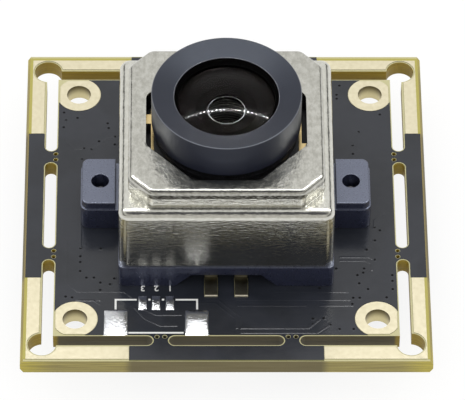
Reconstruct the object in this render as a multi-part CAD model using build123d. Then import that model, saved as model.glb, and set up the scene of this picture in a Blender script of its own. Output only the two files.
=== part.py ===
from build123d import *
from math import sqrt
import os

# Autofocus board camera: a square circuit board with a break-away rim, a moulded lens holder,
# a drawn steel can with the focus motor in it, and a wide-angle lens that rides up and down.
# Millimetres. The origin is the middle of the four mounting holes on the board's top face,
# and +Z is the way the lens looks.

# Circuit board: its core reaches past the lens holder by the front strip, and the rim surrounds it
board_t = 1.6
mask_t = 0.04
copper_t = 0.05
front_strip = 6.0
rim_w = 3.0
slot_w = 1.1
bridge_pos = 6.05
bridge_w = 1.5
bite_dia = 0.38
bite_pitch = 0.72
bite_inset = 0.1
score_w = 0.3
score_depth = 0.5
slot_rim = 0.1

hole_inset = 2.0
hole_dia = 2.3
plating_t = 0.05
ring_dia = 4.16
ring_flat_gap = 0.2

rim_hole_inset = 2.0
rim_hole_dia = 2.6
rim_pad_run = 10.0
rim_pad_margin = 0.2
rim_pad_edge = 0.25
mask_gap = 0.08

# Soldered pads beside the silk-screened connector outline
small_pad_x = (-7.75, -6.5, -5.22)
small_pad_w = 0.7
small_pad_len = 1.63
small_pad_inset = 3.95
large_pad_x = (-10.23, -2.73)
large_pad_w = 2.08
large_pad_len = 2.88
large_pad_inset = 1.56
solder_h = 0.16
solder_slope = 0.096

# Lens holder, screwed to the board from behind
holder_margin = 0.05
holder_h = 2.62
holder_corner_r = 0.5
holder_wall = 1.6
holder_floor_t = 0.72
window_size = 8.4
filter_size = 10.2
filter_t = 0.3
filter_fit = 0.1
filter_recess = 0.4
filter_corner = 0.4
ear_end = 1.83
ear_half_w = 2.93
ear_step = 0.14
ear_raise = 0.83
ear_gap = 0.32
ear_corner_r = 0.8
ear_edge = 0.06
screw_out = 1.77
screw_dia = 1.6
screw_hole_fit = 0.05
screw_board_hole = 1.8
screw_head_dia = 3.0
screw_head_h = 0.9
screw_head_round = 0.3
screw_cross_w = 0.35
screw_cross_len = 1.65
screw_cross_depth = 0.5
screw_sink = 1.15
screw_point = 0.45
screw_tip_dia = 0.64
arch_top_half = 3.25
arch_foot_half = 4.75
arch_h = 0.98
recess_half = 4.7
recess_slope = 1.5
recess_h = 1.84
recess_depth = 0.5
pin_passage_w = 1.7
pin_passage_d = 0.7

# Drawn steel can
can_w_extra = 0.2
can_t = 0.28
can_corner_r = 1.0
can_raise = 2.07
can_shoulder_r = 0.85
can_step = 0.9
can_top_z = 12.0
can_top_r = 0.7
can_chamfer = 2.0
roof_ledge = 1.52
opening_flat_half = 3.08
opening_corner_r = 0.35

# Focus motor
part_fit = 0.05
motor_base_t = 0.98
base_bore_inset = 0.5
post_size = 3.2
post_h = 0.7
spring_t = 0.08
spring_frame_h = 1.3
roof_spacer_h = 1.04
ring_wall = 0.95
magnet_end = 3.4
magnet_air = 0.2
coil_t = 0.62
coil_low_room = 1.32
coil_top_room = 1.6
carrier_wall = 0.91
carrier_flange_h = 0.6
collar_inset = 0.3
collar_air = 0.15
spring_eye_w = 0.27
spring_eye_fit = 0.05
spring_tab_w = 1.14
spring_arm_w = 0.15
spring_slot = 0.3
arm_end_y = 2.6
lower_frame_inset = 0.8
pin_x = 1.4
pin_w = 1.2
pin_t = 0.2
pin_inset = 1.0
pin_reach = 1.3
pin_root = 0.68
pin_fit = 0.03
focus_travel = 0.4

# Where each spring tab leaves its side of the eye, one value for each quarter turn
spring_tab_y = (-2.3, -1.3, -1.3, -1.3)

# Lens
thread_dia = 12.0
thread_fit = 0.04
thread_chamfer = 0.3
head_air = 0.5
head_h = 3.75
head_foot_chamfer = 0.1
head_edge = 0.06
neck_flare = 0.2
neck_gap = 0.08
neck_step = 0.25
face_drop = 0.51
aperture_dia = 9.66
barrel_skirt = 0.75
lens_fit = 0.02
retainer_wall = 0.33
retainer_depth = 1.15
retainer_h = 0.5
retainer_flare = 0.2
dome_r = 8.85
dome_t = 0.6
dome_flange_t = 0.3
dome_edge_air = 0.1
dome_hollow_inset = 0.3
baffle_h = 1.7
baffle_floor_t = 0.85
baffle_funnel_r = 2.8
baffle_hole_r = 1.8
middle_bore_dia = 6.8
middle_lens_t = 1.0
middle_hollow = 0.3
neck_drop = 0.15
neck_edge = 0.1
neck_crown = 0.35
spacer_t = 0.8
spacer_h = 2.4
inner_lens_t = 1.2
inner_crown = 0.35
inner_shelf_r = 2.9
shelf_t = 1.8
barrel_wall = 1.8
rear_lens_t = 1.5
rear_crown = 0.4
rear_hollow = 0.25
rear_edge = 0.1
rear_ring_t = 1.0
rear_ring_h = 0.7

# Sensor
sensor_size = 10.0
sensor_t = 0.95
cover_size = 8.8
cover_t = 0.4

# Parts on the back of the board
socket_pitch = 1.25
socket_count = 4
socket_end = 2.0
socket_depth = 4.5
socket_h = 3.0
socket_wall = 0.55
socket_inset = 5.3
socket_chamfer = 0.4
notch_w = 0.7
notch_inset = 0.6
notch_share = 0.9
contact_w = 0.4
contact_t = 0.3
contact_fit = 0.02
contact_sink = 1.0
contact_gap = 0.15
contact_foot = 1.1
contact_foot_t = 0.2
tab_w = 1.3
tab_t = 0.25
tab_len = 2.2
tab_h = 1.4
tab_shift = 0.6
body_gap = 0.1
body_chamfer = 0.12
chip_mark_dia = 0.8
chip_mark_depth = 0.08
chip_mark_inset = 0.56
chip_size = 7.0
chip_t = 1.4
chip_pins = 12
chip_pitch = 0.5
chip_lead_w = 0.22
chip_lead_reach = 1.0
chip_pos = (0.0, 3.2)
memory_len = 4.9
memory_w = 3.9
memory_t = 1.45
memory_pins = 4
memory_pitch = 1.27
memory_lead_w = 0.4
memory_lead_reach = 1.05
memory_pos = (9.0, -6.8)
regulator_len = 2.9
regulator_w = 1.6
regulator_t = 1.05
regulator_pitch = 0.95
regulator_lead_reach = 0.6
regulator_pos = ((-9.6, -5.6), (-9.6, -9.8))
crystal_len = 3.2
crystal_w = 2.5
crystal_t = 0.75
crystal_base_t = 0.45
crystal_seam = 0.15
crystal_corner_r = 0.3
crystal_pos = (8.2, 6.2)
inductor_size = 3.0
inductor_t = 1.2
inductor_chamfer = 0.45
inductor_ring_dia = 2.4
inductor_ring_w = 0.21
inductor_ring_depth = 0.2
inductor_pos = (-5.0, -7.4)
lead_t = 0.15
lead_knee = 0.35
chip_cap = (1.6, 0.8, 0.8)
chip_res = (1.6, 0.8, 0.45)
end_cap_len = 0.3
end_cap_skin = 0.03

# Places of the small chip parts on the back: x, y and whether each one stands across (1) or along (0)
capacitor_places = (
    (-6.4, 6.4, 1), (-6.4, 3.2, 1), (-6.4, 0.0, 1), (6.4, 2.4, 1), (6.4, -0.4, 1),
    (-1.6, 9.6, 0), (1.6, 9.6, 0), (-13.2, -5.6, 1), (-13.2, -9.8, 1), (-2.2, -3.6, 0),
)
resistor_places = (
    (-4.2, 9.6, 0), (4.2, 9.6, 0), (9.0, 9.6, 0), (12.6, 6.2, 1), (12.6, 2.4, 1),
    (2.2, -3.6, 0), (5.2, -10.6, 1), (-8.6, 6.4, 1), (-8.6, 3.2, 1), (-8.6, 0.0, 1),
)

# Motor sizes worked out from the lens thread outwards to the can
thread_r = thread_dia / 2
carrier_half = thread_r + thread_fit + carrier_wall
coil_half = carrier_half + coil_t
ring_half = coil_half + magnet_air / 2
frame_d = 2 * (ring_half + ring_wall)
frame_w = frame_d + can_w_extra
top_w = frame_w + 2 * (part_fit + can_t)
top_d = frame_d + 2 * (part_fit + can_t)
can_w = top_w + 2 * can_step
can_d = top_d + 2 * can_step
can_in_w = can_w - 2 * can_t
can_in_d = can_d - 2 * can_t
opening_half = top_d / 2 - roof_ledge
motor_base_bore = 2 * (carrier_half - base_bore_inset)
collar_dia = 2 * (carrier_half - collar_inset)

# Holder and board, from the can outwards to the rim
holder_size = can_w + 2 * holder_margin
holder_half = holder_size / 2
screw_pos = holder_half + screw_out
ear_reach = screw_pos + ear_end
pin_y = pin_inset - holder_half
pin_foot_y = -holder_half - pin_reach
core_half = holder_half + front_strip
half = core_half + rim_w
board_size = 2 * half
slot_out = core_half + slot_w
hole_pos = core_half - hole_inset
rim_hole_pos = half - rim_hole_inset
rim_pad_start = half - rim_pad_run
small_pad_y = small_pad_inset - core_half
large_pad_y = large_pad_inset - core_half
socket_y = socket_inset - half

# Heights, from the board up
rear_z = -board_t
holder_low_z = mask_t
rear_mask_z = rear_z - mask_t
ear_h = holder_h + ear_raise
screw_end_z = ear_h - screw_sink
motor_base_z = holder_h
motor_base_top = motor_base_z + motor_base_t
pin_root_z = motor_base_z + pin_root
lower_spring_z = motor_base_top
carrier_low_z = lower_spring_z + spring_t
magnet_low_z = motor_base_top + post_h
can_shoulder_z = can_top_z - can_raise
roof_z = can_top_z - can_t
upper_spring_z = roof_z - roof_spacer_h - spring_t
carrier_top_z = upper_spring_z
magnet_top_z = upper_spring_z - spring_frame_h
coil_low_z = carrier_low_z + coil_low_room
coil_top_z = carrier_top_z - coil_top_room
collar_top_z = roof_z - focus_travel - collar_air

# Lens, from its head down
head_r = opening_half - head_air
aperture_r = aperture_dia / 2
head_low_z = can_top_z
head_top_z = head_low_z + head_h
face_z = head_top_z - face_drop
dome_apex_z = head_top_z
retainer_r = aperture_r - retainer_wall
retainer_low_z = head_top_z - retainer_depth
dome_flange_z = retainer_low_z - dome_flange_t
baffle_low_z = dome_flange_z - baffle_h
baffle_floor_z = baffle_low_z + baffle_floor_t
middle_low_z = baffle_low_z - middle_lens_t
inner_top_z = middle_low_z - spacer_h
shelf_z = inner_top_z - inner_lens_t
rear_bore_z = shelf_z - shelf_t
rear_bore_dia = thread_dia - 2 * barrel_wall
rear_ring_top_z = rear_bore_z - rear_lens_t
barrel_end_z = rear_ring_top_z - rear_ring_h - barrel_skirt
corners = ((1, 1), (-1, 1), (-1, -1), (1, -1))


def slab(width, depth, low, high, x=0.0, y=0.0):
    """Plain block given by its plan size, its two heights and its centre."""
    return Pos(x, y, low) * Box(width, depth, high - low, align=(Align.CENTER, Align.CENTER, Align.MIN))


def drum(radius, low, high, x=0.0, y=0.0):
    """Upright cylinder between two heights."""
    return Pos(x, y, low) * Cylinder(radius, high - low, align=(Align.CENTER, Align.CENTER, Align.MIN))


def turned(points):
    """Solid of revolution about the optical axis from a closed list of (radius, height) points."""
    section = Plane.XZ * make_face(Polyline([(r, z) for r, z in points], close=True))
    return revolve(section, Axis.Z)


def octagon(half_width, low, high):
    """Regular eight-sided prism with flats at half_width from the axis."""
    outline = RegularPolygon(half_width, 8, major_radius=False, rotation=22.5)
    return extrude(Pos(0, 0, low) * outline, high - low)


def four_ways(shape):
    """The shape and its three mirror images about the two centre planes."""
    sides = mirror(shape, Plane.YZ)
    return [shape, sides, mirror(shape, Plane.XZ), mirror(sides, Plane.XZ)]


def four_turns(shape):
    """The shape turned to face each of the four sides."""
    return [Rot(0, 0, 90 * turn) * shape for turn in range(4)]


def save(name, shape):
    """Write one sub-part, or a group of like ones, to its own file."""
    if isinstance(shape, (list, tuple)):
        shape = Compound(children=[solid for item in shape for solid in item.solids()])
    export_step(shape, os.path.join("parts", name + ".step"))


def slot_plan(grow=0.0):
    """Plan of the routed slots on the +Y side, with their round ends, as centre lines given a width."""
    line_y = core_half + slot_w / 2
    width = slot_w + 2 * grow
    inner = bridge_pos - bridge_w / 2
    outer = bridge_pos + bridge_w / 2
    middle = Pos(0, line_y) * SlotOverall(2 * inner + 2 * grow, width)
    side_len = rim_hole_pos - outer + slot_w / 2 + grow
    centre_x = outer - grow + side_len / 2
    sides = [Pos(s * centre_x, line_y) * SlotOverall(side_len, width) for s in (-1, 1)]
    return [middle] + sides


def slot_cutter(low, high, grow=0.0):
    """All routed slots and the rim's corner holes as one cutting body."""
    side = [extrude(Pos(0, 0, low) * plan, high - low) for plan in slot_plan(grow)]
    cutter = [turned_side for plan in side for turned_side in four_turns(plan)]
    for sx, sy in corners:
        cutter.append(drum(rim_hole_dia / 2 + grow, low, high, sx * rim_hole_pos, sy * rim_hole_pos))
    return cutter


def bite_cutters(low, high, grow=0.0):
    """Small holes in pairs across each bridge, along the line where the rim breaks off."""
    cutter = []
    for side in (-1, 1):
        for step in (-1, 1):
            x = side * (bridge_pos + step * bite_pitch / 2)
            cutter += four_turns(drum(bite_dia / 2 + grow, low, high, x, core_half + bite_inset))
    return cutter


def circuit_board():
    """Glass-fibre laminate with the routed rim, the drilled holes and the scored side edges."""
    board = slab(board_size, board_size, rear_z, 0)
    board -= slot_cutter(rear_z, 0)
    drill_r = hole_dia / 2 + plating_t
    for sx, sy in corners:
        board -= drum(drill_r, rear_z, 0, sx * hole_pos, sy * hole_pos)
    for sx in (-1, 1):
        board -= drum(screw_board_hole / 2, rear_z, 0, sx * screw_pos, 0)
    board -= bite_cutters(rear_z, 0)
    score = Polyline((half, 0), (half, -score_depth), (half - score_w, 0), close=True)
    groove = extrude(Plane.XZ * make_face(score), board_size / 2, both=True)
    lower = mirror(groove, Plane.XY.offset(rear_z / 2))
    for edge in (groove, lower):
        board -= [edge, mirror(edge, Plane.YZ)]
    return board


def rim_pad_plan(side_grow=0.0, end_grow=0.0):
    """L-shaped bare gold land of one rim corner, in the +X +Y quarter."""
    inner = slot_out + rim_pad_margin - side_grow
    outer = half - rim_pad_edge + side_grow
    start = rim_pad_start - end_grow
    run = outer - start
    width = outer - inner
    along_x = Pos(start + run / 2, inner + width / 2) * Rectangle(run, width)
    along_y = Pos(inner + width / 2, start + run / 2) * Rectangle(width, run)
    return along_x + along_y


def corner_pads():
    """The four gold corner lands, on the front and on the back."""
    pads = []
    for low, high in ((0, copper_t), (rear_z - copper_t, rear_z)):
        pad = extrude(Pos(0, 0, low) * rim_pad_plan(), high - low)
        pad -= drum(rim_hole_dia / 2 + rim_pad_edge / 2, low, high, rim_hole_pos, rim_hole_pos)
        pads += four_ways(pad)
    return pads


def eyelet():
    """Plated mounting hole of the +X +Y quarter: barrel and two rings, cut flat beside the slots."""
    bore_r = hole_dia / 2
    ring = drum(ring_dia / 2, 0, copper_t, hole_pos, hole_pos)
    ring += drum(ring_dia / 2, rear_z - copper_t, rear_z, hole_pos, hole_pos)
    ring += drum(bore_r + plating_t, rear_z, 0, hole_pos, hole_pos)
    ring -= drum(bore_r, rear_z - copper_t, copper_t, hole_pos, hole_pos)
    flat = core_half - ring_flat_gap
    keep = slab(2 * flat, 2 * flat, rear_z - copper_t, copper_t)
    return ring & keep


def mask_openings(low, high):
    """Everything that the solder mask leaves bare on either face."""
    cutter = slot_cutter(low, high, slot_rim)
    bare = max(rim_pad_margin, rim_pad_edge)
    opened = extrude(Pos(0, 0, low) * rim_pad_plan(bare, mask_gap / 2), high - low)
    cutter += four_ways(opened)
    for sx, sy in corners:
        cutter.append(drum(ring_dia / 2 + mask_gap / 2, low, high, sx * hole_pos, sy * hole_pos))
        bare = core_half - hole_pos - ring_flat_gap
        corner = core_half - bare / 2
        cutter.append(slab(bare, bare, low, high, sx * corner, sy * corner))
    for sx in (-1, 1):
        cutter.append(drum(screw_board_hole / 2 + slot_rim, low, high, sx * screw_pos, 0))
    return cutter + bite_cutters(low, high, slot_rim / 2)


def mask_sheet(low, high):
    """Solder mask over one face, out to the score lines."""
    sheet = slab(board_size - 2 * score_w, board_size - slot_rim, low, high)
    sheet -= mask_openings(low, high)
    return sheet


def front_pad_plans(grow=0.0):
    """Centre and size of each soldered pad and motor land on the front."""
    pads = [(x, small_pad_y, small_pad_w + grow, small_pad_len + grow) for x in small_pad_x]
    pads += [(x, large_pad_y, large_pad_w + grow, large_pad_len + grow) for x in large_pad_x]
    return pads


def front_solder_mask():
    sheet = mask_sheet(0, mask_t)
    for x, y, width, length in front_pad_plans(mask_gap):
        sheet -= slab(width, length, 0, mask_t, x, y)
    for sx in (-1, 1):
        foot = pin_y - pin_foot_y
        sheet -= slab(pin_w + mask_gap, foot + mask_gap, 0, mask_t, sx * pin_x, (pin_y + pin_foot_y) / 2)
    return sheet


def solder_pads():
    """Five tinned lands, each a low pillow of solder."""
    pads = []
    for x, y, width, length in front_pad_plans():
        land = slab(width, length, 0, solder_h, x, y)
        top = land.edges().group_by(Axis.Z)[-1]
        pads.append(chamfer(top, solder_slope))
    return pads


def ear(side):
    """Screw ear on one side: a wide foot and a slightly smaller raised block."""
    inner = holder_half - holder_wall / 2
    foot_len = ear_reach - inner
    foot = Rectangle(foot_len, 2 * ear_half_w)
    block_start = holder_half + ear_gap
    block_len = ear_reach - ear_step - block_start
    block = Rectangle(block_len, 2 * (ear_half_w - ear_step))
    foot_solid = extrude(Pos(inner + foot_len / 2, 0, holder_low_z) * foot, holder_h - holder_low_z)
    outer_edges = foot_solid.edges().filter_by(Axis.Z).group_by(Axis.X)[-1]
    foot_solid = fillet(outer_edges, ear_corner_r)
    block_solid = extrude(Pos(block_start + block_len / 2, 0, holder_h) * block, ear_h - holder_h)
    outer_edges = block_solid.edges().filter_by(Axis.Z).group_by(Axis.X)[-1]
    block_solid = fillet(outer_edges, ear_corner_r - ear_step)
    rim = block_solid.edges().group_by(Axis.Z)[-1]
    block_solid = chamfer(rim, ear_edge)
    shape = foot_solid + block_solid
    shape -= drum((screw_dia + screw_hole_fit) / 2, holder_low_z, ear_h, screw_pos, 0)
    return shape if side > 0 else mirror(shape, Plane.YZ)


def lens_holder():
    """Moulded square holder: side walls, roof with the filter window, screw ears and front arch."""
    body = slab(holder_size, holder_size, holder_low_z, holder_h)
    body = fillet(body.edges().filter_by(Axis.Z), holder_corner_r)
    roof_under = holder_h - holder_floor_t
    cavity = holder_size - 2 * holder_wall
    body += [ear(side) for side in (-1, 1)]
    body -= slab(cavity, cavity, holder_low_z, roof_under)
    body -= slab(window_size, window_size, roof_under, holder_h)
    seat = filter_size + 2 * filter_fit
    body -= slab(seat, seat, holder_h - filter_recess, holder_h)
    front = -holder_half
    recess_flat = recess_half - recess_slope
    pocket = Polyline(
        (-recess_half, front), (recess_half, front),
        (recess_flat, front + recess_depth), (-recess_flat, front + recess_depth), close=True,
    )
    body -= extrude(Pos(0, 0, holder_low_z) * make_face(pocket), recess_h - holder_low_z)
    arch = Polyline(
        (-arch_foot_half, holder_low_z), (arch_foot_half, holder_low_z),
        (arch_top_half, arch_h), (-arch_top_half, arch_h), close=True,
    )
    arch_face = Plane.XZ.offset(-front) * make_face(arch)
    body -= extrude(arch_face, -holder_wall)
    for sx in (-1, 1):
        body -= slab(pin_passage_w, pin_passage_d, arch_h / 2, holder_h, sx * pin_x, pin_y + pin_t / 2)
    return body


def holder_screw(side):
    """Pan-head screw from the back, with a cross recess and a blunt point."""
    x = side * screw_pos
    point_z = screw_end_z - screw_point
    screw = drum(screw_dia / 2, rear_mask_z, point_z, x, 0)
    tip = Cone(screw_dia / 2, screw_tip_dia / 2, screw_point, align=(Align.CENTER, Align.CENTER, Align.MIN))
    screw += Pos(x, 0, point_z) * tip
    low = rear_mask_z - screw_head_h
    head = drum(screw_head_dia / 2, low, rear_mask_z, x, 0)
    head = fillet(head.edges().group_by(Axis.Z)[0], screw_head_round)
    head -= slab(screw_cross_len, screw_cross_w, low, low + screw_cross_depth, x, 0)
    head -= slab(screw_cross_w, screw_cross_len, low, low + screw_cross_depth, x, 0)
    return screw + head


def can_form(grow, low, top_drop):
    """Outer or inner form of the can: square body, rounded shoulder and eight-sided raised top."""
    width = can_w + 2 * grow
    depth = can_d + 2 * grow
    body = slab(width, depth, low, can_shoulder_z + grow)
    body = fillet(body.edges().filter_by(Axis.Z), can_corner_r + grow)
    body = fillet(body.edges().group_by(Axis.Z)[-1], can_shoulder_r + grow)
    top = slab(top_w + 2 * grow, top_d + 2 * grow, can_shoulder_z - can_raise / 4, can_top_z - top_drop)
    top = chamfer(top.edges().filter_by(Axis.Z), can_chamfer + 0.4 * grow)
    top = fillet(top.edges().group_by(Axis.Z)[-1], can_top_r + grow)
    return body + top


def actuator_can():
    """Deep-drawn steel shell of even thickness with an eight-sided opening for the lens."""
    shell = can_form(0, holder_h, 0) - can_form(-can_t, holder_h, can_t)
    reach = opening_half
    flat = opening_flat_half
    points = []
    for sx, sy in corners:
        pair = [(sx * reach, sy * flat), (sx * flat, sy * reach)]
        points += pair if sx * sy > 0 else pair[::-1]
    window = extrude(Pos(0, 0, roof_z) * make_face(Polyline(points, close=True)), can_t)
    window = fillet(window.edges().filter_by(Axis.Z), opening_corner_r)
    return shell - window


def actuator_base():
    """Moulded motor floor with four corner posts and slots for the two motor pins."""
    width = can_in_w - 2 * part_fit
    depth = can_in_d - 2 * part_fit
    floor = slab(width, depth, motor_base_z, motor_base_top)
    for sx, sy in corners:
        x = sx * (width - post_size) / 2
        y = sy * (depth - post_size) / 2
        floor += slab(post_size, post_size, motor_base_top, magnet_low_z, x, y)
    floor = fillet(floor.edges().filter_by(Axis.Z).group_by(SortBy.LENGTH)[-1], can_corner_r - can_t)
    floor -= drum(motor_base_bore / 2, motor_base_z, motor_base_top)
    for sx in (-1, 1):
        slot = slab(pin_w + 2 * pin_fit, pin_t + 2 * pin_fit, motor_base_z, pin_root_z + pin_fit)
        floor -= Pos(sx * pin_x, pin_y + pin_t / 2, 0) * slot
    return floor


def terminal_pin(side):
    """Motor pin: it comes down out of the motor floor and lies forward on the board."""
    path = Polyline(
        (pin_foot_y, copper_t), (pin_y + pin_t, copper_t), (pin_y + pin_t, pin_root_z),
        (pin_y, pin_root_z), (pin_y, copper_t + pin_t), (pin_foot_y, copper_t + pin_t), close=True,
    )
    strip = extrude(Plane.YZ * make_face(path), pin_w / 2, both=True)
    return Pos(side * pin_x, 0, 0) * strip


def pin_land(side):
    """Gold land on the board under a motor pin."""
    y = (pin_y + pin_foot_y) / 2
    return slab(pin_w, pin_y - pin_foot_y, 0, copper_t, side * pin_x, y)


def magnet():
    """Corner magnet of the +X +Y quarter, its inner face square to the coil's slanted side."""
    face_line = (coil_half + magnet_air) * sqrt(2)
    out_x = can_in_w / 2 - part_fit
    out_y = can_in_d / 2 - part_fit
    clip = can_corner_r
    outline = Polyline(
        (out_x, magnet_end), (out_x, out_y - clip), (out_x - clip, out_y), (magnet_end, out_y),
        (magnet_end, face_line - magnet_end), (face_line - magnet_end, magnet_end), close=True,
    )
    return extrude(Pos(0, 0, magnet_low_z) * make_face(outline), magnet_top_z - magnet_low_z)


def spring_outside(low, high):
    """Eight-sided plate that fits inside the raised top of the can."""
    plate = slab(frame_w, frame_d, low, high)
    return chamfer(plate.edges().filter_by(Axis.Z), can_chamfer)


def spring_frame():
    """Ring on the magnets that holds the outside of the upper spring from below."""
    plate = spring_outside(magnet_top_z, upper_spring_z)
    return plate - octagon(ring_half, magnet_top_z, upper_spring_z)


def roof_spacer():
    """Ring between the upper spring and the roof of the can."""
    low = upper_spring_z + spring_t
    ring = spring_outside(low, roof_z)
    ring = chamfer(ring.edges().group_by(Axis.Z)[-1], can_top_r - can_t)
    return ring - octagon(ring_half, low, roof_z)


def spring_arm(low, eye_out, frame_in, tab_y):
    """Tab on the eye's +X side, a thin arm along the slot, and its link to the outer frame."""
    high = low + spring_t
    arm_x = frame_in - spring_slot + spring_arm_w / 2
    start_y = tab_y - spring_tab_w / 2
    tab_len = arm_x + spring_arm_w / 2 - eye_out + spring_eye_w / 2
    tab = slab(tab_len, spring_tab_w, low, high, arm_x + spring_arm_w / 2 - tab_len / 2, tab_y)
    arm = slab(spring_arm_w, arm_end_y - start_y, low, high, arm_x, (arm_end_y + start_y) / 2)
    link_len = spring_slot + spring_arm_w
    link = slab(link_len, 2 * spring_arm_w, low, high, arm_x + link_len / 2, arm_end_y - spring_arm_w)
    return tab + arm + link


def leaf_spring(low, outside, eye_half):
    """Thin etched spring: outer frame, eight-sided eye and four slender arms between them."""
    high = low + spring_t
    frame_in = coil_half + spring_slot
    eye_out = eye_half + spring_eye_w
    shape = outside(low, high) - octagon(frame_in, low, high)
    shape += octagon(eye_out, low, high) - octagon(eye_half, low, high)
    for turn, tab_y in enumerate(spring_tab_y):
        shape += Rot(0, 0, 90 * turn) * spring_arm(low, eye_out, frame_in, tab_y)
    return shape


def upper_spring():
    """Spring between the carrier's collar and the ring on the magnets."""
    return leaf_spring(upper_spring_z, spring_outside, collar_dia / 2 + spring_eye_fit)


def lower_outside(low, high):
    """Eight-sided plate that lies on the motor floor between its posts."""
    return octagon(can_in_d / 2 - lower_frame_inset, low, high)


def lower_spring():
    """Spring between the motor floor and the carrier's lower end."""
    return leaf_spring(lower_spring_z, lower_outside, motor_base_bore / 2 + spring_eye_fit)


def lens_carrier():
    """Moulded eight-sided carrier, threaded for the lens, with a coil groove and a round collar."""
    body = octagon(carrier_half, carrier_low_z, carrier_top_z)
    flange_low = octagon(coil_half, coil_low_z - carrier_flange_h, coil_low_z)
    flange_high = octagon(coil_half, coil_top_z, coil_top_z + carrier_flange_h)
    collar = drum(collar_dia / 2, carrier_top_z, collar_top_z)
    body += [flange_low, flange_high, collar]
    return body - drum(thread_r + thread_fit, carrier_low_z, collar_top_z)


def coil():
    """Wound eight-sided coil in the carrier's groove."""
    outside = octagon(coil_half - part_fit, coil_low_z, coil_top_z)
    return outside - octagon(carrier_half, coil_low_z, coil_top_z)


def lens_barrel():
    """Turned barrel: threaded shank, wide head with a dished face, and a stepped bore for the glasses."""
    mid_r = middle_bore_dia / 2
    rear_r = rear_bore_dia / 2
    neck_z = collar_top_z + neck_gap
    section = [
        (head_r, head_low_z + head_foot_chamfer), (head_r, head_top_z - head_edge),
        (head_r - head_edge, head_top_z), (aperture_r, face_z), (aperture_r, baffle_low_z),
        (mid_r, baffle_low_z), (mid_r, shelf_z), (inner_shelf_r, shelf_z), (inner_shelf_r, rear_bore_z),
        (rear_r, rear_bore_z), (rear_r, barrel_end_z), (thread_r - thread_chamfer, barrel_end_z),
        (thread_r, barrel_end_z + thread_chamfer), (thread_r, neck_z),
        (thread_r + neck_flare, neck_z + neck_step), (head_r - head_foot_chamfer, head_low_z),
    ]
    return turned(section)


def front_retainer():
    """Black ring that clamps the front glass."""
    out_r = aperture_r - lens_fit
    top = retainer_low_z + retainer_h
    flare_r = retainer_r + retainer_flare
    return turned([(retainer_r, retainer_low_z), (out_r, retainer_low_z), (out_r, top), (flare_r, top)])


def arc_height(radius, apex, r):
    """Height at radius r of a ball surface with its apex on the axis."""
    return apex - radius + sqrt(radius ** 2 - r ** 2)


def front_lens():
    """Domed front glass: a thin-walled meniscus with a flat clamping flange."""
    edge_r = aperture_r - lens_fit
    clear_r = retainer_r - dome_edge_air
    under_r = clear_r - dome_hollow_inset
    under_apex = dome_apex_z - dome_t
    rise = under_apex - dome_flange_z
    under_ball = (under_r ** 2 + rise ** 2) / (2 * rise)
    outer_z = arc_height(dome_r, dome_apex_z, clear_r)
    mid_in = arc_height(under_ball, under_apex, under_r / 2)
    mid_out = arc_height(dome_r, dome_apex_z, clear_r / 2)
    outline = [
        Line((0, under_apex), (0, dome_apex_z)),
        ThreePointArc((0, dome_apex_z), (clear_r / 2, mid_out), (clear_r, outer_z)),
        Line((clear_r, outer_z), (clear_r, retainer_low_z)),
        Line((clear_r, retainer_low_z), (edge_r, retainer_low_z)),
        Line((edge_r, retainer_low_z), (edge_r, dome_flange_z)),
        Line((edge_r, dome_flange_z), (under_r, dome_flange_z)),
        ThreePointArc((under_r, dome_flange_z), (under_r / 2, mid_in), (0, under_apex)),
    ]
    return revolve(Plane.XZ * make_face(Wire(outline)), Axis.Z)


def front_baffle():
    """Matt black funnel under the front glass, with the opening over the second glass."""
    out_r = aperture_r - lens_fit
    funnel_r = retainer_r - dome_edge_air
    return turned([
        (out_r, baffle_low_z), (out_r, dome_flange_z), (funnel_r, dome_flange_z),
        (baffle_funnel_r, baffle_floor_z), (baffle_hole_r, baffle_floor_z), (baffle_hole_r, baffle_low_z),
    ])


def surface_line(reach, level, rise):
    """Section of one glass surface, from its edge at (reach, level) to the axis, risen by rise."""
    if rise == 0:
        return Line((reach, level), (0, level))
    ball_r = (reach ** 2 + rise ** 2) / (2 * rise)
    sagged = sqrt(ball_r ** 2 - (reach / 2) ** 2)
    middle = level + rise - ball_r + (sagged if ball_r > 0 else -sagged)
    return ThreePointArc((reach, level), (reach / 2, middle), (0, level + rise))


def round_glass(edge_r, low, high, crown_r, crown, under):
    """Round glass with a flat rim, a crowned top of radius crown_r and an underside risen by under."""
    outline = [
        surface_line(crown_r, high, crown),
        Line((crown_r, high), (edge_r, high)),
        Line((edge_r, high), (edge_r, low)),
        Line((edge_r, low), (crown_r, low)),
        surface_line(crown_r, low, under),
        Line((0, low + under), (0, high + crown)),
    ]
    return revolve(Plane.XZ * make_face(Wire(outline)), Axis.Z)


def middle_lens():
    """Second glass: its neck stands up in the baffle's opening."""
    neck_r = baffle_hole_r - lens_fit
    edge_r = middle_bore_dia / 2 - lens_fit
    disc = round_glass(edge_r, middle_low_z, baffle_low_z, neck_r, 0.0, middle_hollow)
    top_z = baffle_floor_z - neck_drop
    neck = round_glass(neck_r, baffle_low_z, top_z, neck_r - neck_edge, neck_crown, 0.0)
    return disc + neck


def lens_spacer():
    """Black tube that keeps the second and third glasses apart."""
    out_r = middle_bore_dia / 2 - lens_fit
    return drum(out_r, inner_top_z, middle_low_z) - drum(out_r - spacer_t, inner_top_z, middle_low_z)


def inner_lens():
    """Third glass, under the spacer tube."""
    edge_r = middle_bore_dia / 2 - lens_fit
    return round_glass(edge_r, shelf_z, inner_top_z, edge_r - spacer_t, inner_crown, 0.0)


def rear_lens():
    """Last glass, put in from behind."""
    edge_r = rear_bore_dia / 2 - lens_fit
    crown_r = inner_shelf_r - rear_edge
    return round_glass(edge_r, rear_ring_top_z, rear_bore_z, crown_r, rear_crown, -rear_hollow)


def rear_retainer():
    """Ring that holds the last glass."""
    out_r = rear_bore_dia / 2 - lens_fit
    low = rear_ring_top_z - rear_ring_h
    return drum(out_r, low, rear_ring_top_z) - drum(out_r - rear_ring_t, low, rear_ring_top_z)


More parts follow.
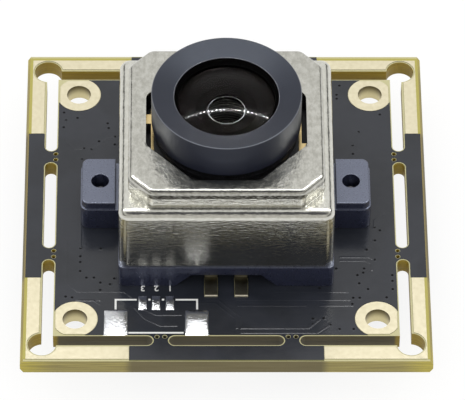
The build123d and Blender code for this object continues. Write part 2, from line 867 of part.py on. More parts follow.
def ir_filter():
    """Glass plate with clipped corners in the holder's seat."""
    low = holder_h - filter_recess
    plate = slab(filter_size, filter_size, low, low + filter_t)
    return chamfer(plate.edges().filter_by(Axis.Z), filter_corner)


def image_sensor():
    return slab(sensor_size, sensor_size, mask_t, mask_t + sensor_t)


def sensor_glass():
    low = mask_t + sensor_t
    return slab(cover_size, cover_size, low, low + cover_t)


def socket_width():
    return socket_pitch * (socket_count - 1) + 2 * socket_end


def wire_socket():
    """Side-entry wire socket on the back, open towards the board's front edge."""
    width = socket_width()
    low = rear_mask_z - socket_h
    body = slab(width, socket_depth, low, rear_mask_z, 0, socket_y)
    mouth_y = socket_y - socket_depth / 2
    inner_w = width - 2 * socket_wall
    pocket_low = low + socket_wall
    depth = socket_depth - 2 * socket_wall
    body -= slab(inner_w, depth, pocket_low, rear_mask_z - socket_wall, 0, mouth_y + depth / 2)
    notch_len = notch_share * depth
    for side in (-1, 1):
        notch_x = side * (width / 2 - socket_wall - notch_inset)
        body -= slab(notch_w, notch_len, low, pocket_low, notch_x, mouth_y + notch_len / 2)
    rear_low_edges = body.edges().filter_by(Axis.X).group_by(Axis.Y)[-1].group_by(Axis.Z)[0]
    body = chamfer(rear_low_edges, socket_chamfer)
    blade_z = rear_mask_z - socket_h / 2
    blade_half = (contact_t + contact_fit) / 2
    for index in range(socket_count):
        body -= slab(
            contact_w + contact_fit, socket_depth, blade_z - blade_half, blade_z + blade_half,
            contact_x(index), socket_y + socket_depth - 2 * socket_wall,
        )
    return body


def contact_x(index):
    """Place of one contact across the socket."""
    return socket_pitch * (index - (socket_count - 1) / 2)


def socket_contact(index):
    """Bent contact: a blade in the socket and a soldered tail behind it."""
    blade_z = rear_mask_z - socket_h / 2
    back_y = socket_y + socket_depth / 2
    tip_y = socket_y - socket_depth / 2 + contact_sink
    t = contact_t
    bend_y = back_y + contact_gap
    foot_y = bend_y + contact_foot
    foot_z = rear_mask_z - contact_foot_t
    path = Polyline(
        (tip_y, blade_z - t / 2), (bend_y + t, blade_z - t / 2), (bend_y + t, foot_z), (foot_y, foot_z),
        (foot_y, rear_mask_z), (bend_y, rear_mask_z), (bend_y, blade_z + t / 2), (tip_y, blade_z + t / 2),
        close=True,
    )
    strip = extrude(Plane.YZ * make_face(path), contact_w / 2, both=True)
    return Pos(contact_x(index), 0, 0) * strip


def socket_tab(side):
    """Soldered hold-down tab on one side of the socket."""
    edge_x = socket_width() / 2
    y = socket_y + tab_shift
    foot = slab(tab_w, tab_len, rear_mask_z - tab_t, rear_mask_z, side * (edge_x + tab_w / 2), y)
    wall = slab(tab_t, tab_len, rear_mask_z - tab_h, rear_mask_z, side * (edge_x + tab_t / 2), y)
    return foot + wall


def bent_lead(body_edge, reach, body_z, width):
    """Gull-wing lead that leaves a body's +Y side and comes down to the board."""
    foot_z = rear_mask_z
    t = lead_t
    knee = body_edge + lead_knee * reach
    path = Polyline(
        (body_edge, body_z), (knee + t, body_z), (knee + t, foot_z - t), (body_edge + reach, foot_z - t),
        (body_edge + reach, foot_z), (knee, foot_z), (knee, body_z + t), (body_edge, body_z + t), close=True,
    )
    return extrude(Plane.YZ * make_face(path), width / 2, both=True)


def moulded_body(length, width, thick, x, y):
    """Black moulded package that stands on the back of the board with its corners eased."""
    high = rear_mask_z - body_gap
    body = slab(length, width, high - thick, high, x, y)
    return chamfer(body.edges().group_by(Axis.Z)[0], body_chamfer)


def lead_z(thick):
    """Height at which a package of this thickness holds its leads."""
    return rear_mask_z - body_gap - thick / 2


def image_processor():
    """Square package with a round mark at its first lead."""
    body = moulded_body(chip_size, chip_size, chip_t, *chip_pos)
    x, y = chip_pos
    mark = chip_size / 2 - chip_mark_inset
    low = rear_mask_z - body_gap - chip_t
    return body - drum(chip_mark_dia / 2, low, low + chip_mark_depth, x - mark, y + mark)


def processor_leads():
    """Leads on all four sides of the processor."""
    lead = bent_lead(chip_size / 2, chip_lead_reach, lead_z(chip_t), chip_lead_w)
    leads = []
    for index in range(chip_pins):
        x = chip_pitch * (index - (chip_pins - 1) / 2)
        leads += four_turns(Pos(x, 0, 0) * lead)
    return [Pos(*chip_pos, 0) * item for item in leads]


def flash_memory():
    """Small two-row package."""
    return moulded_body(memory_len, memory_w, memory_t, *memory_pos)


def memory_leads():
    """Leads on the two long sides of the memory."""
    lead = bent_lead(memory_w / 2, memory_lead_reach, lead_z(memory_t), memory_lead_w)
    leads = []
    for index in range(memory_pins):
        x = memory_pitch * (index - (memory_pins - 1) / 2)
        item = Pos(x, 0, 0) * lead
        leads += [item, mirror(item, Plane.XZ)]
    return [Pos(*memory_pos, 0) * item for item in leads]


def regulators():
    """Two five-lead regulators."""
    return [moulded_body(regulator_len, regulator_w, regulator_t, x, y) for x, y in regulator_pos]


def regulator_leads():
    """Three leads on one side of each regulator and two on the other."""
    lead = bent_lead(regulator_w / 2, regulator_lead_reach, lead_z(regulator_t), memory_lead_w)
    leads = []
    for x, y in regulator_pos:
        for column in (-1, 0, 1):
            leads.append(Pos(x + column * regulator_pitch, y, 0) * lead)
        for column in (-1, 1):
            leads.append(Pos(x + column * regulator_pitch, y, 0) * mirror(lead, Plane.XZ))
    return leads


def crystal():
    """Ceramic-based crystal with a seam-welded metal lid."""
    x, y = crystal_pos
    seam_z = rear_mask_z - crystal_base_t
    base = slab(crystal_len, crystal_w, seam_z, rear_mask_z, x, y)
    lid_len = crystal_len - 2 * crystal_seam
    lid_w = crystal_w - 2 * crystal_seam
    lid = slab(lid_len, lid_w, rear_mask_z - crystal_t, seam_z, x, y)
    return base + fillet(lid.edges().filter_by(Axis.Z), crystal_corner_r)


def inductor():
    """Shielded power inductor with a round wound core in a square ferrite."""
    x, y = inductor_pos
    low = rear_mask_z - inductor_t
    body = slab(inductor_size, inductor_size, low, rear_mask_z, x, y)
    body = chamfer(body.edges().filter_by(Axis.Z), inductor_chamfer)
    floor_z = low + inductor_ring_depth
    outer_r = inductor_ring_dia / 2
    ring = drum(outer_r, low, floor_z, x, y) - drum(outer_r - inductor_ring_w, low, floor_z, x, y)
    return body - ring


def chip_part(size, place):
    """Ceramic body and two end caps of one chip part, turned to its place on the back."""
    length, width, height = size
    x, y, across = place
    low = rear_mask_z - height
    ceramic = slab(length - 2 * end_cap_len, width - 2 * end_cap_skin, low + end_cap_skin, rear_mask_z)
    cap_x = (length - end_cap_len) / 2
    caps = [slab(end_cap_len, width, low, rear_mask_z, side * cap_x, 0) for side in (-1, 1)]
    spot = Pos(x, y, 0) * Rot(0, 0, 90 * across)
    return spot * ceramic, [spot * cap for cap in caps]


def chip_parts():
    """All capacitor bodies, all resistor bodies and all end caps."""
    capacitors = []
    resistors = []
    caps = []
    for size, places, bodies in (
        (chip_cap, capacitor_places, capacitors), (chip_res, resistor_places, resistors),
    ):
        for place in places:
            ceramic, ends = chip_part(size, place)
            bodies.append(ceramic)
            caps += ends
    return capacitors, resistors, caps


os.makedirs("parts", exist_ok=True)

save("circuit_board", circuit_board())
save("front_solder_mask", front_solder_mask())
save("rear_solder_mask", mask_sheet(rear_mask_z, rear_z))
save("corner_pads", corner_pads())
save("plated_holes", four_ways(eyelet()))
save("solder_pads", solder_pads())
save("pin_lands", [pin_land(side) for side in (-1, 1)])
save("lens_holder", lens_holder())
save("holder_screws", [holder_screw(side) for side in (-1, 1)])
save("actuator_can", actuator_can())
save("actuator_base", actuator_base())
save("terminal_pins", [terminal_pin(side) for side in (-1, 1)])
save("magnets", four_ways(magnet()))
save("spring_frame", spring_frame())
save("roof_spacer", roof_spacer())
save("upper_spring", upper_spring())
save("lower_spring", lower_spring())
save("lens_carrier", lens_carrier())
save("coil", coil())
save("lens_barrel", lens_barrel())
save("front_retainer", front_retainer())
save("front_lens", front_lens())
save("front_baffle", front_baffle())
save("middle_lens", middle_lens())
save("lens_spacer", lens_spacer())
save("inner_lens", inner_lens())
save("rear_lens", rear_lens())
save("rear_retainer", rear_retainer())
save("ir_filter", ir_filter())
save("image_sensor", image_sensor())
save("sensor_glass", sensor_glass())
save("wire_socket", wire_socket())
save("socket_contacts", [socket_contact(index) for index in range(socket_count)])
save("socket_tabs", [socket_tab(side) for side in (-1, 1)])
save("image_processor", image_processor())
save("processor_leads", processor_leads())
save("flash_memory", flash_memory())
save("memory_leads", memory_leads())
save("regulators", regulators())
save("regulator_leads", regulator_leads())
save("crystal", crystal())
save("inductor", inductor())

capacitors, resistors, end_caps = chip_parts()
save("chip_capacitors", capacitors)
save("chip_resistors", resistors)
save("chip_end_caps", end_caps)
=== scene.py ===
# %% [markdown]
# # Dressing an autofocus board camera
# The solids of the camera are already built to size. This lesson gives them their looks: it loads
# the solids, makes a finish for every material, models again the pieces whose edges and curves
# catch the light, adds what is too fine for the solids, and sets up a camera, a floor and lamps.
# Blender works in metres, and a circuit board is easier to think of in millimetres, so every shape
# is drawn in millimetres and scaled once, when it becomes a piece.

# %% Load the solids
import math
import bmesh
import bpy
from mathutils import Matrix, Vector


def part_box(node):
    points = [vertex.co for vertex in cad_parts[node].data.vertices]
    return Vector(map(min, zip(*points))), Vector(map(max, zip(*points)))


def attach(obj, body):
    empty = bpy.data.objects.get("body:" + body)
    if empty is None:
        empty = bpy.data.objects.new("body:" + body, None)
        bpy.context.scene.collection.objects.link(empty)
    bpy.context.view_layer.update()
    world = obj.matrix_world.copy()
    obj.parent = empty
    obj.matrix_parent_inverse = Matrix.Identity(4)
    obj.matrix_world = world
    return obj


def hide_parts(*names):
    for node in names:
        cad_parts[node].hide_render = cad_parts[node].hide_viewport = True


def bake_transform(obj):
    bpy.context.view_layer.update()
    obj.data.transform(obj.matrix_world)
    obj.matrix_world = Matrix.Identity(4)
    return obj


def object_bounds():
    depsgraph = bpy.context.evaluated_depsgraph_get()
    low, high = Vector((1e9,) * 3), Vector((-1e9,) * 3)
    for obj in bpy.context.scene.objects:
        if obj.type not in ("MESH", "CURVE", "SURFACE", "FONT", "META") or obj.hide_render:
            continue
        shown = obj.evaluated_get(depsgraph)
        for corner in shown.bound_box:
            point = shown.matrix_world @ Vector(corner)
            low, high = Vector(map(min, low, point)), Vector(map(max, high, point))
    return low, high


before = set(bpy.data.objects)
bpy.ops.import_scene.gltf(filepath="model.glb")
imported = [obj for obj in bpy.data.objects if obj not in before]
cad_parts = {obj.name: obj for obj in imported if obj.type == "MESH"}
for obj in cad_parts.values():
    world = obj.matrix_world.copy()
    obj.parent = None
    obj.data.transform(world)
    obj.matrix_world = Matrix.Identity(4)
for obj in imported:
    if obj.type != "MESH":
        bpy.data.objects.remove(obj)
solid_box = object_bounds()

MM = 0.001


def rounded(points):
    """Corner points in millimetres, short enough to print."""
    return [tuple(round(value / MM, 2) for value in point) for point in points]


print("solids loaded:", len(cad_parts), "nodes, box", rounded(solid_box))

# %% [markdown]
# ## Finishes as expressions
# A material in Blender is a network of nodes. Wiring it by hand takes many lines, so a small class
# wraps one output socket and gives it the usual operators: `grain * 0.2 + 0.5` adds two Math nodes.
# Its methods make a step, a blend of two colours or a relief from the value. Colours don't go
# through Math nodes, which would turn them grey.


# %% A socket that takes part in arithmetic
def shade(red, green, blue):
    """A colour as it looks on screen, from 0 to 255, turned into the linear values that nodes use."""
    def linear(level):
        level = level / 255
        return level / 12.92 if level <= 0.04045 else ((level + 0.055) / 1.055) ** 2.4
    return (linear(red), linear(green), linear(blue), 1.0)


class Channel:
    """One output socket of a network, usable in Python expressions."""

    def __init__(self, network, socket):
        self.network = network
        self.socket = socket

    def math(self, operation, first, second=0.0):
        return self.network.node("ShaderNodeMath", {"operation": operation}, {0: first, 1: second})

    def __add__(self, other):
        return self.math("ADD", self, other)

    def __sub__(self, other):
        return self.math("SUBTRACT", self, other)

    def __rsub__(self, other):
        return self.math("SUBTRACT", other, self)

    def __mul__(self, other):
        return self.math("MULTIPLY", self, other)

    def __abs__(self):
        return self.math("ABSOLUTE", self)

    def larger(self, other):
        return self.math("MAXIMUM", self, other)

    def smaller(self, other):
        return self.math("MINIMUM", self, other)

    def root(self):
        return self.math("SQRT", self)

    def wave(self):
        return self.math("SINE", self)

    def part(self, index):
        """One of the three numbers of a vector."""
        return self.network.node("ShaderNodeSeparateXYZ", sockets={0: self}, output=index)

    def step(self, start, end):
        """0 before start, 1 past end and a smooth change between. The start may be the higher one."""
        sockets = {"Value": self, "From Min": start, "From Max": end}
        return self.network.node("ShaderNodeMapRange", {"interpolation_type": "SMOOTHSTEP"}, sockets)

    def mix(self, first, second):
        """Blend of two colours. Three plain numbers are a colour as it looks on screen."""
        first, second = (shade(*colour) if isinstance(colour, tuple) and len(colour) == 3 else colour
                         for colour in (first, second))
        sockets = {0: self, 6: first, 7: second}
        return self.network.node("ShaderNodeMix", {"data_type": "RGBA"}, sockets, output=2)

    def bump(self, depth_mm, under=None):
        """Surface relief with this as its height, laid over another relief where one is given."""
        sockets = {"Height": self, "Distance": depth_mm * MM, "Strength": 1.0}
        if under:
            sockets["Normal"] = under
        return self.network.node("ShaderNodeBump", sockets=sockets)


# %% [markdown]
# ## A material in the making
# `Finish` opens a new material and sets what is the same all over it straight on the shader. What
# changes over the surface is made from the object's own coordinates in millimetres, so a grain of
# 0.3 mm stays 0.3 mm on every piece. Many materials need no more than one grain, which
# `grainy_finish` takes for the colour, the gloss and the relief at once.


# %% Networks and finishes
class Network:
    """The nodes of a material or of the world."""

    def __init__(self, tree):
        self.tree = tree

    def node(self, kind, settings=None, sockets=None, output=0):
        """Add any node: its settings first, then the values or links of its sockets."""
        node = self.tree.nodes.new(kind)
        for key, value in (settings or {}).items():
            setattr(node, key, value)
        for key, value in (sockets or {}).items():
            if isinstance(value, Channel):
                self.tree.links.new(value.socket, node.inputs[key])
            else:
                node.inputs[key].default_value = value
        return Channel(self, node.outputs[output])

    def ray(self, *kinds):
        """1 for a ray of one of the given kinds and 0 for the others."""
        found = [self.node("ShaderNodeLightPath", output=f"Is {kind} Ray") for kind in kinds]
        total = found[0]
        for more in found[1:]:
            total = total.larger(more)
        return total


class Finish(Network):
    """A material whose even values are set on its shader straight away."""

    def __init__(self, name, **even):
        self.material = bpy.data.materials.new(name)
        self.material.use_nodes = True
        super().__init__(self.material.node_tree)
        self.shader = self.tree.nodes["Principled BSDF"]
        for socket_name, value in even.items():
            self.shader.inputs[socket_name.replace("_", " ")].default_value = value

    def place(self, stretch=(1.0, 1.0, 1.0)):
        """The object's coordinates in millimetres, pressed together or drawn out along each axis."""
        spot = self.node("ShaderNodeTexCoord", output=3)
        factor = [part / MM for part in stretch]
        return self.node("ShaderNodeVectorMath", {"operation": "MULTIPLY"}, {0: spot, 1: factor})

    def axis(self, index):
        """The coordinate along one axis, in millimetres."""
        return self.place().part(index)

    def lean(self, index):
        """How far the surface's normal leans along one axis, from 0 to 1."""
        return abs(self.node("ShaderNodeNewGeometry", output=1).part(index))

    def grain(self, per_mm, detail=2.0, stretch=(1.0, 1.0, 1.0), roughness=0.5):
        """Cloudy noise with about per_mm blobs in a millimetre, from 0 to 1."""
        sockets = {"Vector": self.place(stretch), "Scale": per_mm, "Detail": detail, "Roughness": roughness}
        return self.node("ShaderNodeTexNoise", {"noise_dimensions": "3D"}, sockets)

    def wear(self, colour, roughness=None, relief=None, metallic=None):
        """Link what changes over the surface to the shader, and hand the material over."""
        varying = {"Base Color": colour, "Roughness": roughness, "Normal": relief, "Metallic": metallic}
        for socket_name, value in varying.items():
            if value:
                self.tree.links.new(value.socket, self.shader.inputs[socket_name])
        return self.material


def grainy_finish(name, first, second, grain, roughness, depth_mm, **even):
    """One grain, given as its blobs in a millimetre and its detail, does for the whole finish."""
    finish = Finish(name, **even)
    speck = finish.grain(*grain)
    smoothest, dullest = roughness
    return finish.wear(speck.mix(first, second), speck * (dullest - smoothest) + smoothest,
                       speck.bump(depth_mm))


# %% [markdown]
# ## The circuit board's finishes
# Glass-fibre laminate is pale where only its top is bare, and its cut edges show the cloth layers
# as thin bands. The solder mask is a slate lacquer with a wet gloss. Its shade drifts a little from
# place to place, it follows the weave of the cloth, and a pale line edges it at the board's rim.


# %% Laminate
def laminate_finish():
    finish = Finish("glass_fibre_laminate", Roughness=0.5, Specular_IOR_Level=0.45)
    across = abs(finish.axis(0))
    along = abs(finish.axis(1))
    height = finish.axis(2)
    layers = finish.grain(1.0, 3.0, stretch=(0.16, 0.16, 9.0))
    fibres = finish.grain(7.0, 2.0, stretch=(1.0, 1.0, 0.35))
    run = across.smaller(along)
    edge = run.step(8.6, 9.6).mix((108, 98, 62), (160, 147, 84))
    edge = (run.step(15.5, 18.8) * 0.8).mix(edge, (200, 184, 72))
    edge = (layers.step(0.4, 0.62) * 0.5).mix(edge, (92, 82, 44))
    # Painted shade: the walls of the slots near the front edge are painted darker.
    shaded_front_slots = finish.axis(1).step(-12.0, -15.0) * across.step(15.8, 15.4)
    slot_wall = layers.mix((120, 96, 14), (188, 164, 54))
    slot_wall = shaded_front_slots.mix(slot_wall, layers.mix((66, 60, 42), (116, 106, 74)))
    wall = across.larger(along).step(18.6, 18.95).mix(slot_wall, edge)
    on_top = height.step(-0.012, -0.004)
    under = height.step(-1.588, -1.596)
    bare = (fibres * 0.5).mix((212, 206, 158), (190, 182, 124))
    return finish.wear(on_top.larger(under).mix(wall, bare), relief=(fibres * 0.6 + layers).bump(0.02))


# %% Solder mask
def mask_finish():
    finish = Finish("slate_solder_mask", IOR=1.5)
    x, y = finish.axis(0), finish.axis(1)
    cloud = finish.grain(1.1, 3.0)
    colour = finish.grain(0.16, 1.0).step(0.42, 0.56).mix((36, 39, 46), (43, 46, 54))
    colour = (cloud * 0.3).mix(colour, (54, 56, 62))
    colour = abs(x).larger(abs(y)).step(18.84, 18.9).mix(colour, (112, 110, 62))
    weave = (x * 13.0).wave() * (y * 13.0).wave()
    return finish.wear(colour, cloud * 0.12 + 0.14, (weave * 0.5 + cloud * 1.5).bump(0.0016))


# %% [markdown]
# ## Gold, solder and print
# Gold over nickel on a board is thin and pale, and the plated walls of the holes are painted darker, as
# painted shade, most of all close under the rim. Hot-dipped solder freezes into a bright pillow with a few
# duller patches. The white print is thick ink with a slightly open, chalky surface.


# %% Gold plating
BARE_MARGIN = 18.45


def gold_finish():
    """Pale gold. Past BARE_MARGIN the lands leave a strip of bare laminate, at the sides and back."""
    finish = Finish("pale_gold_plating")
    haze = finish.grain(2.4, 3.0)
    reach = abs(finish.axis(0)).larger(finish.axis(1))
    margin = reach.step(BARE_MARGIN, BARE_MARGIN + 0.05)
    # Painted shade: the upright walls of the plated holes are painted darker, most of all near the top.
    shaded_hole_wall = finish.axis(2).step(-1.3, 0.0).mix((206, 194, 150), (92, 82, 52))
    colour = haze.mix((211, 202, 170), (224, 216, 190))
    colour = finish.lean(2).step(0.8, 0.3).mix(colour, shaded_hole_wall)
    colour = margin.mix(colour, (186, 176, 84))
    relief = finish.grain(14.0, 1.0).bump(0.0016)
    return finish.wear(colour, haze * 0.16 + 0.24, relief, 1.0 - margin)


# %% Solder
def solder_finish():
    finish = Finish("bright_solder", Metallic=1.0)
    frost = finish.grain(1.7, 4.0)
    pits = finish.grain(5.0, 4.0, roughness=0.65)
    return finish.wear(frost.mix((192, 194, 198), (220, 221, 224)), frost.step(0.45, 0.75) * 0.12 + 0.1,
                       pits.bump(0.035))


# %% White print
white_print = grainy_finish("white_print", (238, 238, 234), (252, 252, 250), (11.0, 3.0), (0.5, 0.7), 0.006,
                            Specular_IOR_Level=0.4)

# %% [markdown]
# ## The can's steel
# The can is drawn from nickel-plated steel sheet. Where the sheet was stretched, its grains stand up as a
# fine orange peel. The die leaves ripples round the walls, and a dark, crackled band lies high on the raised
# top. Below that band the steel is painted paler, as painted light, most of all just under the band. The
# relief is real only as light: it is far too fine for the mesh. The walls are told from the flat top by the
# surface normal, which belongs to the surface and not to the camera.


# %% Drawn steel
BAND_LOW = 11.1
BAND_TOP = 11.56


def can_finish():
    finish = Finish("drawn_nickel_steel", Metallic=1.0)
    lean_x, lean_y, lean_z = (finish.lean(index) for index in range(3))
    height = finish.axis(2)
    slope = lean_z.step(0.995, 0.86)
    peel = finish.grain(3.1, 2.0, roughness=0.6)
    pebbles = finish.grain(1.1, 1.0)
    ripple = finish.grain(5.5, 3.0, stretch=(0.22, 0.22, 1.0), roughness=0.6)
    crackle = finish.grain(5.0, 4.0, stretch=(0.7, 0.7, 1.5), roughness=0.7)
    tint = finish.grain(2.2, 4.0, stretch=(1.0, 0.6, 1.0), roughness=0.7)
    off_corners = (lean_x.larger(lean_y) - lean_x.smaller(lean_y)).step(0.25, 0.5)
    band = height.step(BAND_LOW, BAND_LOW + 0.1) * height.step(BAND_TOP + 0.1, BAND_TOP) * off_corners
    # Painted light: below the band the can is painted paler, a little on the lower walls and most of all
    # from 10.6 mm up to the band.
    painted_light = height.step(BAND_LOW + 0.1, BAND_LOW) * (height.step(10.2, 10.6) * 0.6 + 0.38)
    colour = tint.step(0.3, 0.7).mix((174, 173, 165), (199, 198, 191))
    colour = painted_light.mix(colour, (236, 235, 226))
    colour = (band * (crackle.step(0.62, 0.4) * 0.6 + 0.4)).mix(colour, (56, 54, 46))
    relief = (pebbles * (1.0 - slope)).bump(0.03)
    relief = (peel * (1.0 - slope * 0.75)).bump(0.02, under=relief)
    relief = (ripple * slope).bump(0.024, under=relief)
    relief = (crackle * band).bump(0.02, under=relief)
    return finish.wear(colour, peel * 0.12 + (0.15 - slope * 0.05), relief)


# %% [markdown]
# ## Plastics
# The holder is a glass-filled liquid crystal moulding: nearly black, with a cool sheen on its
# matt skin and pale fibre specks. The other mouldings share the recipe with other colours.


# %% Moulded plastic
def moulded_finish(name, dark, light, gloss, texture_per_mm=6.0, depth_mm=0.004, index=1.5, **even):
    finish = Finish(name, IOR=index, **even)
    skin = finish.grain(texture_per_mm, 3.0)
    specks = finish.grain(texture_per_mm * 2.5, 0.0).step(0.7, 0.78)
    colour = (specks * 0.25).mix(finish.grain(0.5).mix(dark, light), (170, 172, 180))
    return finish.wear(colour, skin * 0.2 + gloss, skin.bump(depth_mm))


# %% [markdown]
# ## Plain metals and ceramics
# Pins, magnets, coil wire, screws and the crystal's lid are rolled or drawn metal: one colour with
# a slight tarnish, and fine marks along the way that they were drawn. The springs are a paler
# alloy, and the ceramic bodies on the back are fine-grained and even.


# %% Rolled metal
def metal_finish(name, bright, dull, roughness, along=(1.0, 1.0, 1.0), per_mm=6.0):
    finish = Finish(name, Metallic=1.0)
    marks = finish.grain(per_mm, 2.0, stretch=along)
    tarnish = finish.grain(0.9, 4.0).step(0.35, 0.75)
    return finish.wear(tarnish.mix(bright, dull), marks * 0.12 + roughness, marks.bump(0.002))


# %% Spring leaf
def spring_finish():
    """Pale copper alloy, painted black toward the front as painted shade, where its tabs lie in the can's
    shade.
    """
    finish = Finish("spring_alloy")
    tarnish = finish.grain(0.9, 4.0)
    # Painted shade: toward the front the alloy is painted black and loses its metal.
    black = finish.axis(1).step(-3.6, -4.4)
    colour = black.mix(tarnish.mix((236, 214, 160), (214, 186, 132)), (9, 8, 7))
    return finish.wear(colour, black * 0.4 + 0.24, tarnish.bump(0.001), 1.0 - black)


# %% Ceramic
def ceramic_finish(name, light, dark, gloss):
    return grainy_finish(name, light, dark, (8.0, 4.0), (gloss, gloss + 0.15), 0.002)


# %% [markdown]
# ## The lens's finishes
# The barrel is turned aluminium, anodised black: under light it is a deep blue grey, with rings that the
# tool left. The rings come from the distance to the axis, so they follow the turning, and a thin pale line
# is painted on the rims of its head as a painted highlight. The glass has an anti-reflection coating, so it
# mirrors much less than window glass does.


# %% Anodised barrel
HEAD_RADIUS = 6.93
HEAD_TOP = 15.75
APERTURE = 4.83
FACE_LOW = 15.24


def barrel_finish():
    finish = Finish("black_anodised_barrel", IOR=1.42, Specular_Tint=(0.8, 0.88, 1.0, 1.0))
    x, y, height = (finish.axis(index) for index in range(3))
    radius = (x * x + y * y).root()
    turning = (radius * 62.0).wave() * 0.5 + (radius * 23.0).wave() * 0.5
    skin = finish.grain(7.0, 3.0)
    outer_edge = radius.step(HEAD_RADIUS - 0.09, HEAD_RADIUS - 0.06)
    outer_edge = outer_edge * height.step(HEAD_TOP - 0.09, HEAD_TOP - 0.05)
    inner_edge = radius.step(APERTURE + 0.09, APERTURE + 0.04)
    inner_edge = inner_edge * height.step(FACE_LOW - 0.08, FACE_LOW - 0.04)
    # Painted highlight: a thin pale line along the outer and inner rims of the head.
    painted_rim_highlight = outer_edge.larger(inner_edge) * (skin * 0.6 + 0.3)
    colour = painted_rim_highlight.mix(finish.grain(0.35).mix((30, 32, 42), (38, 40, 52)), (124, 126, 132))
    return finish.wear(colour, skin * 0.12 + 0.29, turning.bump(0.0007, under=skin.bump(0.003)))


# %% Ridged black of the spacer
def ridged_finish():
    finish = Finish("ridged_black_spacer", Specular_IOR_Level=0.3)
    dust = finish.grain(6.0, 3.0)
    ridges_and_highlights = (finish.axis(2) * 22.0).wave().step(0.35, 0.95)
    # Painted highlights: the crests of the ridges are painted pale, as if lit.
    colour = (ridges_and_highlights * (dust * 0.5 + 0.5)).mix((6, 6, 6), (84, 83, 76))
    return finish.wear(colour, dust * 0.2 + 0.4, ridges_and_highlights.bump(0.02))


# %% Coated glass
def glass_finish(name, tint, mirror_tint, index, **even):
    """Clear, faintly dusty glass. Its mirror_tint dims and colours reflections as a coating does."""
    finish = Finish(name, Transmission_Weight=1.0, IOR=index, Roughness=0.0, Specular_Tint=mirror_tint,
                    **even)
    dust = finish.grain(5.0, 4.0).step(0.6, 0.8) * 0.3
    return finish.wear(dust.mix(tint, (225, 225, 222)))


# %% [markdown]
# ## One finish for each material slot
# Every solid arrives with the name of its material slot. This cell makes one finish for each slot
# and puts it on all the solids, so nothing is left with the plain colour that it came with.

# %% Finishes on the solids
ALONG_X = (0.15, 1.0, 1.0)
ALONG_Y = (1.0, 0.12, 1.0)
ROUND_THE_COIL = (1.0, 1.0, 6.0)
finishes = {
    "laminate": laminate_finish(),
    "solder_mask": mask_finish(),
    "gold_plate": gold_finish(),
    "tin_solder": solder_finish(),
    "holder_plastic": moulded_finish("holder_moulding", (28, 31, 50), (36, 39, 60), 0.2, index=1.9,
                                     Specular_IOR_Level=1.0, Specular_Tint=(0.74, 0.8, 1.0, 1.0)),
    "can_steel": can_finish(),
    "black_plastic": moulded_finish("motor_moulding", (22, 22, 24), (30, 30, 33), 0.4),
    "pin_brass": metal_finish("pin_brass", (158, 153, 134), (128, 122, 104), 0.32, ALONG_Y),
    "magnet_nickel": metal_finish("magnet_nickel", (188, 188, 190), (150, 150, 152), 0.2),
    "spring_copper": spring_finish(),
    "coil_copper": metal_finish("coil_copper", (206, 120, 74), (166, 88, 52), 0.25, ROUND_THE_COIL),
    "lens_black": barrel_finish(),
    "baffle_black": grainy_finish("matt_black_funnel", (2, 2, 2), (9, 8, 8), (9.0, 3.0), (0.42, 0.58), 0.002,
                                  Specular_IOR_Level=0.0),
    "lens_glass": glass_finish("coated_lens_glass", (252, 252, 250), (0.1, 0.12, 0.1, 1.0), 1.1),
    "filter_glass": glass_finish("blue_filter_glass", (190, 222, 232), (0.6, 0.3, 0.3, 1.0), 1.3),
    "sensor_ceramic": ceramic_finish("sensor_ceramic", (226, 224, 216), (206, 204, 194), 0.4),
    "socket_plastic": moulded_finish("ivory_nylon", (226, 218, 192), (238, 232, 210), 0.35, 4.0),
    "screw_steel": metal_finish("blackened_screw_steel", (150, 150, 154), (100, 100, 104), 0.3, per_mm=9.0),
    "chip_plastic": moulded_finish("black_epoxy", (26, 26, 28), (38, 38, 41), 0.42, 12.0, 0.006),
    "crystal_metal": metal_finish("crystal_lid", (206, 204, 196), (180, 178, 170), 0.2, ALONG_X),
    "ferrite": ceramic_finish("ferrite_body", (58, 56, 56), (36, 35, 36), 0.5),
    "capacitor_ceramic": ceramic_finish("capacitor_body", (176, 140, 98), (140, 106, 70), 0.34),
    "resistor_ceramic": ceramic_finish("resistor_body", (32, 33, 40), (20, 20, 24), 0.3),
}
slot_names = {}
for name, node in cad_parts.items():
    slot_names[name] = node.material_slots[0].material.name
    node.material_slots[0].material = finishes[slot_names[name]]
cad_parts["lens_spacer"].material_slots[0].material = ridged_finish()
# The gold lands beside the pins get a dark finish.
dark_gold = metal_finish("dark_gold_land", (66, 60, 44), (48, 44, 34), 0.35)
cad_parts["pin_lands"].material_slots[0].material = dark_gold
print("finishes:", len(finishes), "on", len(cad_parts), "solids")

# %% [markdown]
# ## From a drawn shape to a piece
# Each shape is a bmesh in millimetres. `add_piece` merges its doubles, turns its faces outwards, scales it
# to metres, gives it the finish of its slot, hides the solids it stands for and hangs it on the body that it
# rides on. A piece that flexes rides on no body.


# %% Make a piece
DOUBLES = 0.0005


def into_scene(name, data):
    """New object in the scene."""
    thing = bpy.data.objects.new(name, data)
    bpy.context.scene.collection.objects.link(thing)
    return thing


def add_piece(name, shape, slot, body="board_body", replaces=(), sharp=32.0, finish=None, merge=DOUBLES,
              bend=None):
    """Turn a finished shape into a piece of the object. bend, where it would start and stop to flex, only
    keeps it off every body.
    """
    bmesh.ops.remove_doubles(shape, verts=shape.verts, dist=merge)
    bmesh.ops.recalc_face_normals(shape, faces=shape.faces)
    bmesh.ops.scale(shape, vec=(MM, MM, MM), verts=shape.verts)
    mesh = bpy.data.meshes.new(name)
    shape.to_mesh(mesh)
    shape.free()
    mesh.shade_smooth()
    mesh.set_sharp_from_angle(angle=math.radians(sharp))
    mesh.materials.append(finish or finishes[slot])
    piece = into_scene(name, mesh)
    flat_faces_first = piece.modifiers.new("flat_faces_first", "WEIGHTED_NORMAL")
    flat_faces_first.keep_sharp = True
    if bend:
        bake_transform(piece)
    else:
        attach(piece, body)
    if replaces:
        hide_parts(*replaces)
    print("piece", name, len(mesh.polygons), "faces")
    return piece


